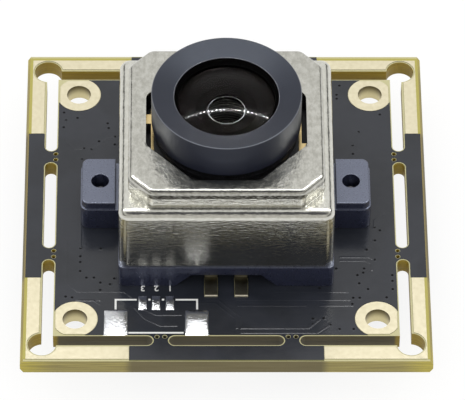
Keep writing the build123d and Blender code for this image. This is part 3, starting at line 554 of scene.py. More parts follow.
def second_finish(piece, finish, chosen):
    """Give another finish to the faces whose middle, in millimetres, and normal are chosen."""
    piece.data.materials.append(finish)
    for face in piece.data.polygons:
        face.material_index = int(chosen(face.center / MM, face.normal))


# %% [markdown]
# ## The shaping tools
# Most small hardware is a block, a turned profile or a flat outline pulled up. These few helpers
# start such a shape, or find its sharp edges for `bevel`, because no real edge is perfectly sharp
# and it is the rounding that catches the light.


# %% Edges and bevels
TINY = 0.001


def bevel(shape, edges, width, segments):
    """Round or chamfer the given edges."""
    bmesh.ops.bevel(shape, geom=edges, offset=width, segments=segments, profile=0.5, affect="EDGES",
                    material=-1, clamp_overlap=True)


def upright_edges(shape):
    """Edges that run straight up."""
    return [edge for edge in shape.edges if (edge.verts[0].co - edge.verts[1].co).xy.length < TINY]


def edges_at(shape, height):
    """Edges that lie level at the given height."""
    return [edge for edge in shape.edges if all(abs(vert.co.z - height) < TINY for vert in edge.verts)]


def sharp_edges(edges, turn):
    """Those of the edges at which the surface turns by more than so many radians."""
    return [edge for edge in edges if len(edge.link_faces) == 2 and edge.calc_face_angle() > turn]


# %% Turned shapes
def turned(profile, steps, closed=True):
    """Spin a profile of (radius, height) points once round the optical axis."""
    shape = bmesh.new()
    verts = [shape.verts.new((radius, 0.0, height)) for radius, height in profile]
    edges = [shape.edges.new(pair) for pair in zip(verts, verts[1:])]
    if closed:
        edges.append(shape.edges.new((verts[-1], verts[0])))
    bmesh.ops.spin(shape, geom=verts + edges, cent=(0, 0, 0), axis=(0, 0, 1), angle=math.tau,
                   steps=steps, use_merge=True)
    return shape


def ball_line(radius, apex, start, end, count):
    """Points on a ball surface whose top is at apex, between two distances from the axis."""
    reach = [start + (end - start) * index / count for index in range(count + 1)]
    return [(r, apex - radius + math.sqrt(radius ** 2 - r ** 2)) for r in reach]


def cap_ball(reach, rise):
    """Radius of the ball whose cap reaches that far from the axis and rises that high."""
    return (reach ** 2 + rise ** 2) / (2 * rise)


# %% Outlines and discs pulled up
def cut_corners(half_x, half_y, chamfer):
    """Rectangle with its four corners cut off."""
    quarter = [(half_x, half_y - chamfer), (half_x - chamfer, half_y)]
    left = [(-x, y) for x, y in reversed(quarter)]
    return quarter + left + [(-x, -y) for x, y in quarter + left]


def eight_corners(flat):
    """Regular eight-sided outline whose flats lie at that distance from the axis."""
    return cut_corners(flat, flat, flat * (2 - math.sqrt(2)))


def walled(loops):
    """Faces between each loop of points and the next, and the loops as vertices."""
    shape = bmesh.new()
    loops = [[shape.verts.new(point) for point in loop] for loop in loops]
    for first, second in zip(loops, loops[1:]):
        for index in range(len(first)):
            shape.faces.new((first[index - 1], first[index], second[index], second[index - 1]))
    return shape, loops


def disc(shape, x, y, low, high, foot, top, segments=16):
    """Flat round plate with the given radii at its foot and its top. Returns its vertices."""
    made = bmesh.ops.create_cone(shape, cap_ends=True, segments=segments, radius1=foot, radius2=top,
                                 depth=high - low, matrix=Matrix.Translation((x, y, (low + high) / 2)))
    return made["verts"]


# %% Copies of solids with softened edges
SHARP_TURN = math.radians(40)


def softened_solid(node, width, segments):
    """Copy a solid, merge its loose triangles into whole faces and round its sharp edges."""
    shape = bmesh.new()
    shape.from_mesh(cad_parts[node].data)
    bmesh.ops.scale(shape, vec=(1 / MM, 1 / MM, 1 / MM), verts=shape.verts)
    bmesh.ops.remove_doubles(shape, verts=shape.verts, dist=DOUBLES)
    bmesh.ops.dissolve_limit(shape, angle_limit=math.radians(0.5), verts=shape.verts, edges=shape.edges)
    bevel(shape, sharp_edges(shape.edges, SHARP_TURN), width, segments)
    return shape


# %% [markdown]
# ## The can
# The real can is one piece of sheet: a square body with a rounded shoulder, and a raised
# eight-sided top with a large opening. It could be a subdivided cage, but its radii are known
# sizes, so two beveled boxes give exact ones. Their open ends are filled up to each other, the
# opening is cut as an outline, and solidify gives the sheet its thickness.

# %% Draw the can
CAN_LOW = 2.62
CAN_SHEET = 0.28
CAN_CORNER = 1.0
SHOULDER_Z = 9.93
SHOULDER_ROUND = 0.85
SHOULDER_STEP = 0.9
ROOF_Z = 12.0
ROOF_ROUND = 0.5
ROOF_CHAMFER = 2.0
ROOF_CORNER = 0.35
OPENING_REACH = 7.43
OPENING_FLAT = 3.08
OPENING_CORNER = 0.35
ROOT_ROUND = 0.14
ROOF_BORDER = 0.3
LEDGE_BORDER = 0.015
FINE_SEGMENTS = 8
OPENING_RIM = 8.3
RIM_ROUND = 0.06

can_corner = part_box("actuator_can")[1] / MM


def level_faces(shape, height):
    """Faces that lie flat at the given height."""
    return [face for face in shape.faces if abs(face.normal.z) > 0.999
            and abs(face.calc_center_median().z - height) < TINY]


def open_box(x, y, low, high, corners, upper_round):
    """Box without its level faces: its upright edges beveled in turn, its upper ones rounded."""
    shape = bmesh.new()
    bmesh.ops.create_cube(shape, size=2.0)
    bmesh.ops.scale(shape, vec=(x, y, (high - low) / 2), verts=shape.verts)
    bmesh.ops.translate(shape, vec=(0, 0, (high + low) / 2), verts=shape.verts)
    for width, segments in corners:
        bevel(shape, upright_edges(shape), width, segments)
    bevel(shape, edges_at(shape, high), upper_round, FINE_SEGMENTS)
    shape.normal_update()
    bmesh.ops.delete(shape, geom=level_faces(shape, low) + level_faces(shape, high), context="FACES")
    return shape


def join(target, other):
    """Add one shape's faces to another."""
    mesh = bpy.data.meshes.new("joining")
    other.to_mesh(mesh)
    other.free()
    target.from_mesh(mesh)
    bpy.data.meshes.remove(mesh)


def opening_outline(shape):
    """Rounded eight-sided outline of the opening, as loose edges at the roof's height."""
    outline = cut_corners(OPENING_REACH, OPENING_REACH, OPENING_REACH - OPENING_FLAT)
    corners = [shape.verts.new((x, y, ROOF_Z)) for x, y in outline]
    shape.faces.new(corners)
    bmesh.ops.bevel(shape, geom=corners, offset=OPENING_CORNER, segments=5, profile=0.5,
                    affect="VERTICES", material=-1)
    middle = Vector((0, 0, ROOF_Z))
    plate = min(shape.faces, key=lambda face: (face.calc_center_median() - middle).length)
    edges = list(plate.edges)
    bmesh.ops.delete(shape, geom=[plate], context="FACES_ONLY")
    return edges


def drawn_can():
    x, y = can_corner.x, can_corner.y
    shape = open_box(x, y, CAN_LOW, SHOULDER_Z, [(CAN_CORNER, FINE_SEGMENTS)], SHOULDER_ROUND)
    join(shape, open_box(x - SHOULDER_STEP, y - SHOULDER_STEP, SHOULDER_Z, ROOF_Z,
                         [(ROOF_CHAMFER, 1), (ROOF_CORNER, 4)], ROOF_ROUND))
    ledge = [edge for edge in edges_at(shape, SHOULDER_Z) if edge.is_boundary]
    bmesh.ops.triangle_fill(shape, edges=ledge, use_beauty=True)
    opening = opening_outline(shape)
    roof = [edge for edge in edges_at(shape, ROOF_Z) if edge.is_boundary]
    bmesh.ops.triangle_fill(shape, edges=roof + opening, use_beauty=True)
    bmesh.ops.recalc_face_normals(shape, faces=shape.faces)
    shape.normal_update()
    for height, border in ((SHOULDER_Z, LEDGE_BORDER), (ROOF_Z, ROOF_BORDER)):
        bmesh.ops.inset_region(shape, faces=level_faces(shape, height), thickness=border,
                               use_boundary=True, use_even_offset=True)
    bevel(shape, sharp_edges(edges_at(shape, SHOULDER_Z), 1.0), ROOT_ROUND, 4)
    bmesh.ops.recalc_face_normals(shape, faces=shape.faces)
    bmesh.ops.solidify(shape, geom=shape.faces[:], thickness=CAN_SHEET)
    rim = [edge for edge in sharp_edges(shape.edges, 1.2) if abs(edge.verts[0].co.z - CAN_LOW) < TINY
           or edge.verts[0].co.xy.length < OPENING_RIM]
    bevel(shape, rim, RIM_ROUND, 3)
    return shape


add_piece("drawn_can", drawn_can(), "can_steel", replaces=["actuator_can"], sharp=40)

# %% [markdown]
# ## The lens barrel and its ring
# The barrel was turned on a lathe, so one profile spun round the axis is the honest way to make it. Its head
# is dished, and fine bevels at the two rims give the thin bright lines of light, together with a highlight
# painted into the barrel's finish.

# %% Turn the barrel
BARREL_LOW = 3.25
SHANK_RADIUS = 6.0
SHANK_TOP = 11.25
HEAD_LOW = 12.0
FUNNEL_LOW = 12.6
SECOND_BORE = 3.4
SECOND_LOW = 8.0
WAIST_RADIUS = 2.9
WAIST_LOW = 6.2
REAR_BORE = 4.2
RETAINER_LOW = 14.6
RETAINER_TOP = 15.1
RETAINER_BORE = 4.5
RETAINER_SLANT = 0.22
LENS_FIT = 0.02
SEAT_RADIUS = APERTURE - LENS_FIT


def barrel_profile():
    """Outside from the shank up, over the dished face, then down the stepped bore."""
    shank = [(SHANK_RADIUS - 0.3, BARREL_LOW), (SHANK_RADIUS, BARREL_LOW + 0.3),
             (SHANK_RADIUS, SHANK_TOP), (SHANK_RADIUS + 0.2, SHANK_TOP + 0.25)]
    head = [(HEAD_RADIUS - 0.1, HEAD_LOW), (HEAD_RADIUS, HEAD_LOW + 0.1), (HEAD_RADIUS, HEAD_TOP - 0.08),
            (HEAD_RADIUS - 0.03, HEAD_TOP - 0.02), (HEAD_RADIUS - 0.1, HEAD_TOP)]
    face = [(APERTURE + 0.05, FACE_LOW + 0.01), (APERTURE, FACE_LOW - 0.05)]
    bore = [(APERTURE, FUNNEL_LOW), (SECOND_BORE, FUNNEL_LOW), (SECOND_BORE, SECOND_LOW),
            (WAIST_RADIUS, SECOND_LOW), (WAIST_RADIUS, WAIST_LOW), (REAR_BORE, WAIST_LOW),
            (REAR_BORE, BARREL_LOW)]
    return shank + head + face + bore


barrel = add_piece("turned_barrel", turned(barrel_profile(), 192), "lens_black", "lens_body",
                   ["lens_barrel"], sharp=25)
second_finish(barrel, finishes["baffle_black"],
              lambda spot, normal: spot.xy.length < APERTURE + 0.01 and spot.z < FACE_LOW)

ring_profile = [(RETAINER_BORE, RETAINER_LOW), (SEAT_RADIUS, RETAINER_LOW), (SEAT_RADIUS, RETAINER_TOP),
                (RETAINER_BORE + RETAINER_SLANT, RETAINER_TOP)]
add_piece("glass_ring", turned(ring_profile, 160), "lens_black", "lens_body", ["front_retainer"],
          finish=finishes["baffle_black"], sharp=25)

# %% [markdown]
# ## Glasses
# Each glass surface is part of a ball, so its profile comes from the ball's formula. The front
# glass is a thin dome, and the second one stands up through the hole of the black funnel.

# %% Grind the front glass
DOME_BALL = 8.85
DOME_WALL = 0.6
FLANGE_LOW = 14.3
CLEAR_RADIUS = 4.4
HOLLOW_RADIUS = 4.1


def front_glass_profile():
    under_apex = HEAD_TOP - DOME_WALL
    hollow_ball = cap_ball(HOLLOW_RADIUS, under_apex - FLANGE_LOW)
    rim = [(CLEAR_RADIUS, RETAINER_LOW), (SEAT_RADIUS, RETAINER_LOW), (SEAT_RADIUS, FLANGE_LOW)]
    return (ball_line(DOME_BALL, HEAD_TOP, 0.0, CLEAR_RADIUS, 24) + rim
            + ball_line(hollow_ball, under_apex, HOLLOW_RADIUS, 0.0, 24))


coated_dome = glass_finish("coated_dome", (252, 252, 250), (0.0, 0.0, 0.0, 1.0), 1.1, Coat_Weight=0.45,
                           Coat_Roughness=0.07, Coat_IOR=1.04)
dome = add_piece("front_glass", turned(front_glass_profile(), 160, closed=False), "lens_glass", "lens_body",
                 ["front_lens"], sharp=25, finish=coated_dome)
second_finish(dome, finishes["lens_glass"],
              lambda spot, normal: normal.z <= 0.5 or spot.z < RETAINER_LOW - DOUBLES)

# %% Turn the funnel and grind the second glass
FUNNEL_FLOOR = 13.45
FUNNEL_RADIUS = 2.8
FUNNEL_HOLE = 1.8
NECK_RADIUS = 1.78
NECK_TOP = 13.3
CROWN_RISE = 0.35
GROUND_RIM = 0.12
SECOND_BACK = 11.6
SECOND_HOLLOW = 0.3

funnel_profile = [(SEAT_RADIUS, FUNNEL_LOW), (SEAT_RADIUS, FLANGE_LOW), (CLEAR_RADIUS, FLANGE_LOW),
                  (FUNNEL_RADIUS, FUNNEL_FLOOR), (FUNNEL_HOLE, FUNNEL_FLOOR), (FUNNEL_HOLE, FUNNEL_LOW)]
add_piece("black_funnel", turned(funnel_profile, 160), "baffle_black", "lens_body", ["front_baffle"],
          sharp=25)


def second_glass_profile():
    crown_ball = cap_ball(NECK_RADIUS, CROWN_RISE)
    hollow_ball = cap_ball(NECK_RADIUS, SECOND_HOLLOW)
    foot = SECOND_BORE - LENS_FIT
    side = [(NECK_RADIUS, NECK_TOP - 0.05), (NECK_RADIUS, FUNNEL_LOW), (foot, FUNNEL_LOW),
            (foot, SECOND_BACK)]
    return (ball_line(crown_ball, NECK_TOP + CROWN_RISE, 0.0, NECK_RADIUS - GROUND_RIM, 14) + side
            + ball_line(hollow_ball, SECOND_BACK + SECOND_HOLLOW, NECK_RADIUS, 0.0, 14))


second_glass = add_piece("second_glass", turned(second_glass_profile(), 128, closed=False), "lens_glass",
                         "lens_body", ["middle_lens"], sharp=25)
ground_edge = grainy_finish("ground_glass_edge", (84, 86, 90), (132, 134, 138), (12.0, 3.0), (0.3, 0.6),
                            0.004)
second_finish(second_glass, ground_edge,
              lambda spot, normal: NECK_RADIUS - GROUND_RIM < spot.xy.length < NECK_RADIUS + 0.05
              and spot.z > NECK_TOP - 0.06)

# %% [markdown]
# ## Pieces that only need softer edges
# The holder, the pins and nearly all the parts on the back already have their true shape as solids. A copy
# of each is merged into whole faces and its sharp edges are rounded a little. The front ends of the pins
# were cut bare, so they get a pale finish of their own, which is partly the bare metal and partly a painted
# highlight.

# %% Soften the small hardware
soft_copies = (
    ("moulded_holder", "lens_holder", 0.11, 3),
    ("flat_motor_pins", "terminal_pins", 0.035, 3),
    ("nylon_socket", "wire_socket", 0.06, 3),
    ("socket_blades", "socket_contacts", 0.03, 2),
    ("hold_down_tabs", "socket_tabs", 0.03, 2),
    ("processor_package", "image_processor", 0.05, 2),
    ("processor_gull_wings", "processor_leads", 0.03, 2),
    ("memory_package", "flash_memory", 0.05, 2),
    ("memory_gull_wings", "memory_leads", 0.04, 2),
    ("regulator_packages", "regulators", 0.05, 2),
    ("regulator_gull_wings", "regulator_leads", 0.04, 2),
    ("crystal_can", "crystal", 0.05, 3),
    ("power_inductor", "inductor", 0.06, 3),
    ("capacitor_bodies", "chip_capacitors", 0.05, 2),
    ("resistor_bodies", "chip_resistors", 0.02, 2),
    ("soldered_end_caps", "chip_end_caps", 0.06, 3),
)
for name, node, width, segments in soft_copies:
    add_piece(name, softened_solid(node, width, segments), slot_names[node], replaces=[node])

# %% Bare the pins' cut ends
CUT_DEPTH = 0.1
pin_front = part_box("terminal_pins")[0].y / MM
# The cut ends are bare metal, painted pale as a painted highlight.
cut_end_highlight = grainy_finish("sheared_end_highlight", (246, 238, 216), (216, 208, 182), (9.0, 3.0, (1.0, 1.0, 0.3)),
                        (0.4, 0.6), 0.004)
second_finish(bpy.data.objects["flat_motor_pins"], cut_end_highlight,
              lambda spot, normal: normal.y < -0.6 and spot.y < pin_front + CUT_DEPTH)

# %% [markdown]
# ## The leaf springs
# When the motor focuses, the lens carrier rises by up to 0.4 mm and its two leaf springs flex. The eye of
# each goes up with the carrier, its outer frame stays clamped, and four slender arms bend between the two. A
# rigid spring would be cut by the carrier, so each arm is a piece of its own that rides on no body.

# %% Cut the leaf springs
FRAME_CHAMFER = 2.0
FRAME_FLAT = 7.87
UPPER_EYE = (6.7, 6.97)
LOWER_EYE = (6.5, 6.77)
ARM_IN = 7.57
ARM_OUT = 7.72
ARM_END = 2.6
LINK_START = 2.3
HALF_TAB = 0.57
TAB_PLACES = (-2.3, -1.3, -1.3, -1.3)


def plate_between(outer, inner, low, high):
    """Flat plate between two outlines of as many points."""
    rings = ((outer, low), (outer, high), (inner, high), (inner, low), (outer, low))
    return walled([[(x, y, z) for x, y in outline] for outline, z in rings])[0]


def spring_arm(eye_flat, tab_y, turn, low, high):
    """Tab on the eye, slender arm beside it and link to the frame, pulled up from one outline."""
    outline = [(eye_flat, tab_y - HALF_TAB), (ARM_OUT, tab_y - HALF_TAB), (ARM_OUT, LINK_START),
               (FRAME_FLAT, LINK_START), (FRAME_FLAT, ARM_END), (ARM_IN, ARM_END),
               (ARM_IN, tab_y + HALF_TAB), (eye_flat, tab_y + HALF_TAB)]
    shape, (foot, top) = walled([[(x, y, z) for x, y in outline] for z in (low, high)])
    shape.faces.new(reversed(foot))
    shape.faces.new(top)
    bmesh.ops.rotate(shape, cent=(0, 0, 0), verts=shape.verts, matrix=turn)
    return shape


def leaf_spring(node, eye, outline):
    """Eye, frame and four arms. The eye is given by the flats of its hole and of its outside."""
    eye_hole, eye_flat = eye
    low, high = (corner.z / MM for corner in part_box(node))
    add_piece(f"{node}_eye", plate_between(eight_corners(eye_flat), eight_corners(eye_hole), low, high),
              "spring_copper", "lens_body", [node])
    add_piece(f"{node}_frame", plate_between(outline, eight_corners(FRAME_FLAT), low, high),
              "spring_copper", "board_body", [node])
    for index, tab_y in enumerate(TAB_PLACES):
        turn = Matrix.Rotation(math.tau / 4 * index, 3, "Z")
        outward = turn @ Vector((MM, 0, 0))
        add_piece(f"{node}_arm_{index}", spring_arm(eye_flat, tab_y, turn, low, high), "spring_copper",
                  replaces=[node], bend=(outward * eye_flat, outward * FRAME_FLAT))


frame_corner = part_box("upper_spring")[1] / MM
leaf_spring("upper_spring", UPPER_EYE, cut_corners(frame_corner.x, frame_corner.y, FRAME_CHAMFER))
leaf_spring("lower_spring", LOWER_EYE, eight_corners(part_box("lower_spring")[1].x / MM))

# %% [markdown]
# ## The printed lines
# The white print is ink a few hundredths of a millimetre thick. A line is a flat ribbon along a
# few points, with mitred corners, pulled up by its thickness.


# %% Ribbons
RIBBON_FOOT = 0.004


def mitre(points, index, half_width):
    """Offset from a point of a path to its left edge, so that the corners stay evenly wide."""
    here = Vector(points[index])
    before = Vector(points[max(index - 1, 0)])
    after = Vector(points[min(index + 1, len(points) - 1)])
    ways = [way.normalized() for way in (here - before, after - here) if way.length > 0]
    normals = [Vector((-way.y, way.x)) for way in ways]
    middle = sum(normals, Vector((0, 0))).normalized()
    return middle * (half_width / middle.dot(normals[0]))


def ribbon(shape, points, width, low, high, slope):
    """Closed strip along a path of (x, y) points, with a sloping edge round its raised top."""
    rows = []
    for index, point in enumerate(points):
        side = mitre(points, index, width / 2)
        rows.append([shape.verts.new((*(Vector(point) + way), low)) for way in (side, -side)])
    faces = [shape.faces.new((a[1], b[1], b[0], a[0])) for a, b in zip(rows, rows[1:])]
    for face in faces:
        face.normal_update()
    lifted = bmesh.ops.extrude_face_region(shape, geom=faces, use_keep_orig=True)["geom"]
    top = [item for item in lifted if isinstance(item, bmesh.types.BMFace)]
    verts = list({vert for face in top for vert in face.verts})
    bmesh.ops.translate(shape, vec=(0, 0, RIBBON_FOOT), verts=verts)
    bmesh.ops.inset_region(shape, faces=top, thickness=slope, depth=high - low - RIBBON_FOOT,
                           use_boundary=True, use_even_offset=True)


# %% Print the connector outline
MASK_TOP = 0.04
PRINT_TOP = 0.062
PRINT_WIDTH = 0.19
PRINT_SLOPE = 0.01
DOT_RADIUS = 0.12

print_lines = (
    ((-8.3, -11.68), (-10.25, -11.68), (-10.25, -12.85)),
    ((-4.7, -11.68), (-2.7, -11.68), (-2.7, -12.85)),
    ((-9.05, -15.65), (-3.95, -15.65)),
)
print_dots = ((-7.12, -11.68), (-5.86, -11.68))


def print_line(shape, points):
    ribbon(shape, points, PRINT_WIDTH, MASK_TOP, PRINT_TOP, PRINT_SLOPE)


def front_print():
    shape = bmesh.new()
    for line in print_lines:
        print_line(shape, line)
    for x, y in print_dots:
        disc(shape, x, y, MASK_TOP, PRINT_TOP, DOT_RADIUS, DOT_RADIUS)
    return shape


add_piece("front_print", front_print(), "solder_mask", finish=white_print)

# %% Number the small pads
NUMBER_HEIGHT = 0.95
NUMBER_Y = -10.28
NUMBER_PITCH = 1.27
NUMBER_FIRST_X = -7.75
STROKE_SWELL = 0.012


def pad_numbers():
    """Plain digits behind the small pads, read from the back of the board, as one mesh."""
    shape = bmesh.new()
    for index in range(3):
        words = bpy.data.curves.new("digit", "FONT")
        words.body = str(3 - index)
        words.size = NUMBER_HEIGHT
        words.align_x = words.align_y = "CENTER"
        words.offset = STROKE_SWELL
        words.extrude = (PRINT_TOP - MASK_TOP) / 2
        digit = bpy.data.objects.new("digit", words)
        mesh = bpy.data.meshes.new_from_object(digit)
        place = Vector((NUMBER_FIRST_X + index * NUMBER_PITCH, NUMBER_Y, (MASK_TOP + PRINT_TOP) / 2))
        mesh.transform(Matrix.Translation(place) @ Matrix.Rotation(math.pi, 4, "Z"))
        shape.from_mesh(mesh)
        bpy.data.objects.remove(digit)
        bpy.data.meshes.remove(mesh)
        bpy.data.curves.remove(words)
    return shape


add_piece("pad_numbers", pad_numbers(), "solder_mask", finish=white_print, merge=0.00005)

# %% [markdown]
# ## Copper tracks under the lacquer
# The solder mask runs over the copper tracks like paint over tape, so each track shows as a low ridge, and
# each filled hole as a low ring round a dark disc, which is painted shade where the real hole dips. The
# photo shows where they run in front of the can; elsewhere they are laid out as such a board needs them.

# %% Lay the tracks
TRACK_TOP = 0.056
TRACK_WIDTH = 0.26
TRACK_SLOPE = 0.08

front_tracks = (
    ((4.5, -10.75), (11.4, -10.75)),
    ((0.9, -11.7), (11.6, -11.7)),
    ((1.0, -12.4), (7.5, -12.4)),
    ((8.6, -12.4), (11.8, -12.4)),
    ((10.6, -6.5), (13.3, -6.5), (13.9, -6.8)),
    ((10.6, -6.95), (13.0, -6.95), (13.6, -7.3), (13.6, -8.2)),
    ((-4.4, -12.1), (-1.0, -12.1), (1.0, -14.1), (1.0, -15.2)),
    ((-1.9, -11.75), (-0.7, -11.75), (1.4, -13.85), (1.4, -15.1), (7.6, -15.1), (8.7, -14.0)),
    ((1.3, -15.65), (8.4, -15.65), (9.6, -14.7)),
    ((-14.9, -4.2), (-14.9, -9.6), (-13.8, -10.7), (-9.5, -10.7), (-8.7, -11.4)),
    ((-8.5, -12.6), (-7.5, -14.0), (-6.1, -14.8), (-4.5, -14.8)),
    ((-8.3, -12.1), (-7.5, -12.9), (-6.5, -13.5), (-4.1, -13.5)),
    ((-14.0, -11.7), (-12.3, -11.7), (-11.7, -12.3)),
    ((-13.8, -11.75), (-11.6, -11.75)),
    ((-13.6, 5.7), (-13.6, -5.4)),
    ((-12.7, 7.0), (-11.4, 8.3), (-10.5, 8.6)),
    ((-15.2, 10.7), (-15.2, 8.0), (-14.2, 7.0), (-13.45, 7.1)),
    ((12.8, 9.2), (12.2, 8.6), (12.2, 7.5)),
    ((15.0, -1.0), (14.0, -2.0), (14.0, -2.8)),
)


def raised_tracks(tracks):
    shape = bmesh.new()
    for track in tracks:
        ribbon(shape, track, TRACK_WIDTH, MASK_TOP, TRACK_TOP, TRACK_SLOPE)
    return shape


add_piece("front_tracks", raised_tracks(front_tracks), "solder_mask", sharp=8)

# %% Punch the filled holes
via_spots = (
    (-15.4, 11.7), (-15.2, 10.7), (-15.4, 9.8), (-14.1, 11.0), (-11.2, 10.3), (-11.1, 9.7), (-12.0, 8.0),
    (-13.45, 7.1), (-12.7, 7.0), (-13.6, 5.7), (-10.5, 8.6), (-10.5, 7.6), (-13.6, -5.4), (-11.7, -5.45),
    (-13.6, -6.4), (-13.6, -7.1), (-13.6, -8.2), (-13.0, -9.0), (-12.3, -9.0), (-10.4, -9.1), (-11.7, -9.6),
    (-10.8, -9.8), (-11.7, -10.5), (-14.9, -11.3), (-14.3, -11.4), (11.1, 15.2), (10.8, 14.0), (10.8, 13.5),
    (14.9, 11.45), (12.8, 9.2), (12.2, 7.5), (12.2, 6.4), (14.0, -2.8), (14.5, -3.2), (14.0, -4.45),
    (13.2, -5.6), (13.9, -6.8), (10.3, -7.9), (12.9, -7.9), (12.8, -8.4), (12.25, -8.7), (15.5, -8.7),
    (15.5, -9.4), (12.4, -9.7), (13.2, -10.4), (15.5, -10.4), (8.7, -10.3), (11.8, -11.45), (12.4, -11.45),
    (14.9, -11.4), (11.7, -12.2), (8.0, -13.95), (8.0, -14.6), (9.0, -13.9), (9.6, -14.7), (10.45, -15.2),
    (11.75, -15.2),
)
VIA_RADIUS = 0.27
VIA_RIM = 0.17
VIA_HEIGHT = 0.01
PLUG_RADIUS = 0.125

painted_shade_plug = grainy_finish("painted_shade_via_plug", (8, 8, 10), (20, 20, 23), (9.0, 2.0), (0.6, 0.8), 0.004,
                          Specular_IOR_Level=0.1)


def filled_holes(spots):
    """Low rings, one for each spot: the disc on top of each takes the second material."""
    shape = bmesh.new()
    for x, y in spots:
        verts = disc(shape, x, y, MASK_TOP, MASK_TOP + VIA_HEIGHT, VIA_RADIUS, VIA_RIM)
        faces = {face for vert in verts for face in vert.link_faces}
        plug = max(faces, key=lambda face: face.calc_center_median().z)
        bmesh.ops.inset_individual(shape, faces=[plug], thickness=VIA_RIM - PLUG_RADIUS, depth=0.0)
        # Painted shade: the disc is dark where the real hole dips.
        plug.material_index = 1
    return shape


vias = add_piece("filled_holes", filled_holes(via_spots), "solder_mask", sharp=8)
vias.data.materials.append(painted_shade_plug)

# %% [markdown]
# ## The back of the board
# Boards of this kind carry print and tracks on the back as well: corner marks round the chips, a
# dot beside each first lead, and tracks that fan out from the processor to filled holes. All of
# them are laid out as on the front and turned over. The marks and the fan take their places from
# the solids' boxes, so they stay beside their parts.

# %% Print the back
BACK_FACE = -1.64
MARK_GAP = 0.3
MARK_LEG = 0.9
FIRST_DOT_RADIUS = 0.26
FIRST_DOT_GAP = 0.8


def turned_over(shape):
    """Move a shape that was laid on the front to the same place on the back."""
    bmesh.ops.scale(shape, vec=(1, 1, -1), verts=shape.verts)
    bmesh.ops.translate(shape, vec=(0, 0, BACK_FACE + MASK_TOP), verts=shape.verts)
    return shape


def back_print():
    shape = bmesh.new()
    for node in ("processor_leads", "memory_leads", "inductor", "crystal"):
        low, high = (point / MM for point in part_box(node))
        for side_x, x in ((-1, low.x - MARK_GAP), (1, high.x + MARK_GAP)):
            for side_y, y in ((-1, low.y - MARK_GAP), (1, high.y + MARK_GAP)):
                print_line(shape, ((x - side_x * MARK_LEG, y), (x, y), (x, y - side_y * MARK_LEG)))
        disc(shape, low.x - FIRST_DOT_GAP, low.y - FIRST_DOT_GAP, MASK_TOP, PRINT_TOP, FIRST_DOT_RADIUS,
             FIRST_DOT_RADIUS, 20)
    return turned_over(shape)


add_piece("back_print", back_print(), "solder_mask", finish=white_print)

# %% Fan out the processor's tracks
FAN_COUNT = 9
FAN_PITCH = 0.5
FAN_START = 0.7
FAN_STEP = 0.28
LEAD_LAP = 0.3
FAN_SIDES = (((0, -1), -1.4), ((0, 1), 1.1), ((-1, 0), -0.9), ((1, 0), 0.9))
RING_RADIUS = 13.5
RING_TURNS = (0.45, 0.62, 2.3, 2.5, 3.7, 3.9, 5.4, 5.7)

fan_low, fan_high = (point.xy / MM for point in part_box("processor_leads"))
fan_middle = (fan_low + fan_high) / 2
fan_reach = (fan_high - fan_low) / 2 - Vector((LEAD_LAP, LEAD_LAP))
back_tracks = []
for index in range(FAN_COUNT):
    aside = (index - (FAN_COUNT - 1) / 2) * FAN_PITCH
    for way, slant in FAN_SIDES:
        out = Vector(way)
        start = fan_middle + out * fan_reach + Vector((abs(out.y), abs(out.x))) * aside
        bend = start + out * (FAN_START + FAN_STEP * index)
        back_tracks.append((tuple(start), tuple(bend), tuple(bend + Vector((slant, slant)))))
back_spots = [track[-1] for track in back_tracks]
back_spots += [(RING_RADIUS * math.cos(turn), RING_RADIUS * math.sin(turn)) for turn in RING_TURNS]

add_piece("back_tracks", turned_over(raised_tracks(back_tracks)), "solder_mask", sharp=8)
back_holes = add_piece("back_filled_holes", turned_over(filled_holes(back_spots)), "solder_mask", sharp=8)
back_holes.data.materials.append(painted_shade_plug)

# %% Mark the chips' first leads
DIMPLE_INSET = 0.75
DIMPLE_RADIUS = 0.3
DIMPLE_SLOPE = 0.04
HALF_DIMPLE = 0.006


def first_lead_dimples():
    """Polished round spots in the corner of the two large chips."""
    shape = bmesh.new()
    for node in ("image_processor", "flash_memory"):
        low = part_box(node)[0] / MM
        disc(shape, low.x + DIMPLE_INSET, low.y + DIMPLE_INSET, low.z - HALF_DIMPLE, low.z + HALF_DIMPLE,
             DIMPLE_RADIUS - DIMPLE_SLOPE, DIMPLE_RADIUS, 24)
    return shape


dimple_gloss = moulded_finish("polished_dimple", (46, 46, 49), (56, 56, 60), 0.12, depth_mm=0.001)
add_piece("first_lead_dimples", first_lead_dimples(), "chip_plastic", finish=dimple_gloss)

# %% [markdown]
# ## Solder pillows
# The five pads were dipped in solder. A grid for each pad is raised by a formula that is nearly
# flat in the middle and falls steeply at the edge, as surface tension shapes it. The large pad on
# the left took less solder than the one on the right, so it stays lower.

# %% Pour the solder
SOLDER_LOW = 0.02
solder_pads = [(x, -12.05, 0.84, 1.74, 0.17) for x in (-7.75, -6.5, -5.22)]
solder_pads += [(-10.23, -14.44, 2.26, 3.0, 0.13), (-2.73, -14.44, 2.26, 3.0, 0.22)]


def pillow(shape, x, y, width, length, height):
    """Crowned rectangle of solder, closed underneath."""
    made = bmesh.ops.create_grid(shape, x_segments=18, y_segments=24, size=1.0)
    for vert in made["verts"]:
        u, v = vert.co.x, vert.co.y
        crest = v - 0.25 * (1 - v ** 2)
        crown = (1 - u ** 4) ** 0.5 * (1 - crest ** 2) ** 0.8
        waist = 1 - 0.035 * (1 - v ** 2)
        vert.co = Vector((x + u * waist * width / 2, y + v * length / 2, SOLDER_LOW + height * crown))
    rim = [edge for edge in shape.edges if edge.is_boundary]
    bmesh.ops.contextual_create(shape, geom=rim)


def solder_pillows():
    shape = bmesh.new()
    for pad in solder_pads:
        pillow(shape, *pad)
    return shape


add_piece("solder_pillows", solder_pillows(), "tin_solder", replaces=["solder_pads"], sharp=60)

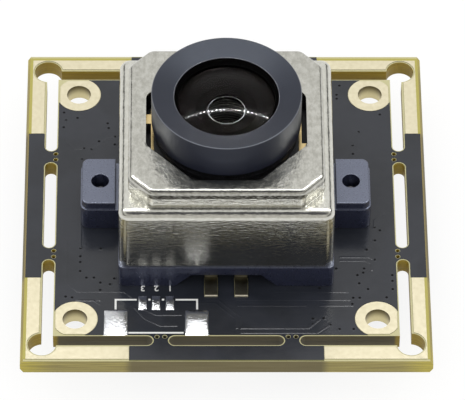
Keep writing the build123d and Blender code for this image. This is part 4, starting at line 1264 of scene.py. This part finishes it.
# %% [markdown]
# ## Floor and lamps
# The board lies on a white table under a soft sky, with one row of small bright lamps overhead,
# whose reflections are the row of dots in the lens. They light the front glass alone, and one long
# strip of light does for the rest. The table keeps the shadow, and it glows, so that it stays white
# where the camera sees it.

# %% Lay the floor
FLOOR_REACH = 1.5
FLOOR_GLOW = 1.06
OWN_WHITE = 0.8


def white_floor():
    """White table. Most of what the camera and the mirrors see of it is its own glow."""
    finish = Finish("white_table", Base_Color=shade(240, 240, 239), Roughness=0.7, Specular_IOR_Level=0.2)
    lit = Channel(finish, finish.shader.outputs[0])
    glow = finish.node("ShaderNodeEmission", sockets={"Strength": FLOOR_GLOW})
    seen = finish.ray("Camera", "Glossy", "Transmission") * OWN_WHITE
    both = finish.node("ShaderNodeMixShader", sockets={0: seen, 1: lit, 2: glow})
    finish.tree.links.new(both.socket, finish.tree.nodes["Material Output"].inputs["Surface"])
    return finish.material


floor_shape = bmesh.new()
bmesh.ops.create_grid(floor_shape, x_segments=1, y_segments=1, size=FLOOR_REACH,
                      matrix=Matrix.Translation((0, 0, solid_box[0].z)))
floor_mesh = bpy.data.meshes.new("table")
floor_shape.to_mesh(floor_mesh)
floor_shape.free()
floor_mesh.materials.append(white_floor())
table = into_scene("table", floor_mesh)

# %% [markdown]
# The camera sees a plain white sky, and its soft light and what shows through glass are white too.
# Metal and gloss mirror another one: a pale tent that is darker toward the front, most of all high
# up, with a black card on either side. The can's bright and dark stretches are its reflection.

# %% Light the world
world = bpy.data.worlds.new("soft_sky")
bpy.context.scene.world = world
world.use_nodes = True
sky = Network(world.node_tree)
direction = sky.node("ShaderNodeTexCoord", output=0)
x, y, up = (direction.part(index) for index in range(3))
front_wall = up.step(0.64, 0.74).mix((0.66, 0.65, 0.62, 1.0), (0.1, 0.1, 0.11, 1.0))
side_card = abs(x).step(0.42, 0.5) * up.step(0.22, 0.28) * up.step(0.48, 0.42)
tent = y.step(-0.1, -0.3).mix((0.94, 0.94, 0.93, 1.0), front_wall)
tent = side_card.mix(tent, (0.06, 0.06, 0.06, 1.0))
sky_colour = sky.ray("Camera", "Diffuse", "Transmission").mix(tent, (1.0, 1.0, 1.0, 1.0))
sky.tree.links.new(sky_colour.socket, sky.tree.nodes["Background"].inputs["Color"])

# %% Hang the lamps
LAMP_COUNT = 24
LAMP_HEIGHT = 400
LAMP_DISC = 2
LAMP_POWER = 9
MIDDLE_SPREAD = 0.72
ARC_ASIDE = 1.155
ARC_BACK = 0.287
ARC_BOW = 0.155
STRIP_LENGTH = 900
STRIP_WIDTH = 60
STRIP_POWER = 1.6


def lamp_spot(across):
    """Place in the arc of lamps, for across from -1 at its left end to 1 at its right end."""
    return Vector((ARC_ASIDE * across, ARC_BACK + ARC_BOW * across ** 2, 1.0)) * LAMP_HEIGHT * MM


def hang_lamp(name, shape, power, spot, **sizes):
    """Area lamp that looks at the camera module."""
    light = bpy.data.lights.new(name, "AREA")
    light.shape = shape
    light.energy = power
    for size_name, value in sizes.items():
        setattr(light, size_name, value * MM)
    lamp = into_scene(name, light)
    lamp.location = spot
    lamp.rotation_euler = spot.to_track_quat("Z", "Y").to_euler()
    lamp.visible_diffuse = False
    lamp.visible_transmission = False
    return lamp


front_glass_alone = bpy.data.collections.new("front_glass_alone")
front_glass_alone.objects.link(bpy.data.objects["front_glass"])
for index in range(LAMP_COUNT):
    across = 2 * index / (LAMP_COUNT - 1) - 1
    spread = across * (MIDDLE_SPREAD + (1 - MIDDLE_SPREAD) * across ** 2)
    lamp = hang_lamp(f"lamp_{index}", "DISK", LAMP_POWER, lamp_spot(spread), size=LAMP_DISC)
    lamp.light_linking.receiver_collection = front_glass_alone
hang_lamp("lamp_strip", "RECTANGLE", STRIP_POWER, lamp_spot(0.0), size=STRIP_LENGTH, size_y=STRIP_WIDTH)
print("lamps:", LAMP_COUNT)

# %% [markdown]
# ## The camera
# The photo was taken through a long lens from about half a metre away, 49 degrees above the board. The
# angles, distance and focal length come from a fit of the board's known holes, slots and pads to the photo.

# %% Set up the camera
ELEVATION = math.radians(48.992)
YAW = math.radians(1.0108)
ROLL = math.radians(0.7647)
DISTANCE = 449.77
ASIDE = 0.6743
ABOVE = 0.4642
FOCAL_PIXELS = 4765.09
IMAGE_WIDTH = 465
SENSOR_WIDTH = 36.0

forward = Vector((0, math.cos(ELEVATION), -math.sin(ELEVATION)))
level_up = Vector((0, math.sin(ELEVATION), math.cos(ELEVATION)))
level_right = Vector((1, 0, 0))
right = math.cos(ROLL) * level_right + math.sin(ROLL) * level_up
upward = -math.sin(ROLL) * level_right + math.cos(ROLL) * level_up
place = (ASIDE * right + ABOVE * upward - DISTANCE * forward) * MM
stand = Matrix((right, upward, -forward)).transposed().to_4x4()
stand.translation = place

camera_data = bpy.data.cameras.new("photo_camera")
camera_data.sensor_width = SENSOR_WIDTH
camera_data.lens = FOCAL_PIXELS / IMAGE_WIDTH * SENSOR_WIDTH
camera_data.clip_start = 0.01
camera_data.clip_end = 10.0
camera = into_scene("photo_camera", camera_data)
camera.matrix_world = Matrix.Rotation(-YAW, 4, "Z") @ stand
bpy.context.scene.camera = camera
bpy.context.scene.view_settings.view_transform = "Standard"
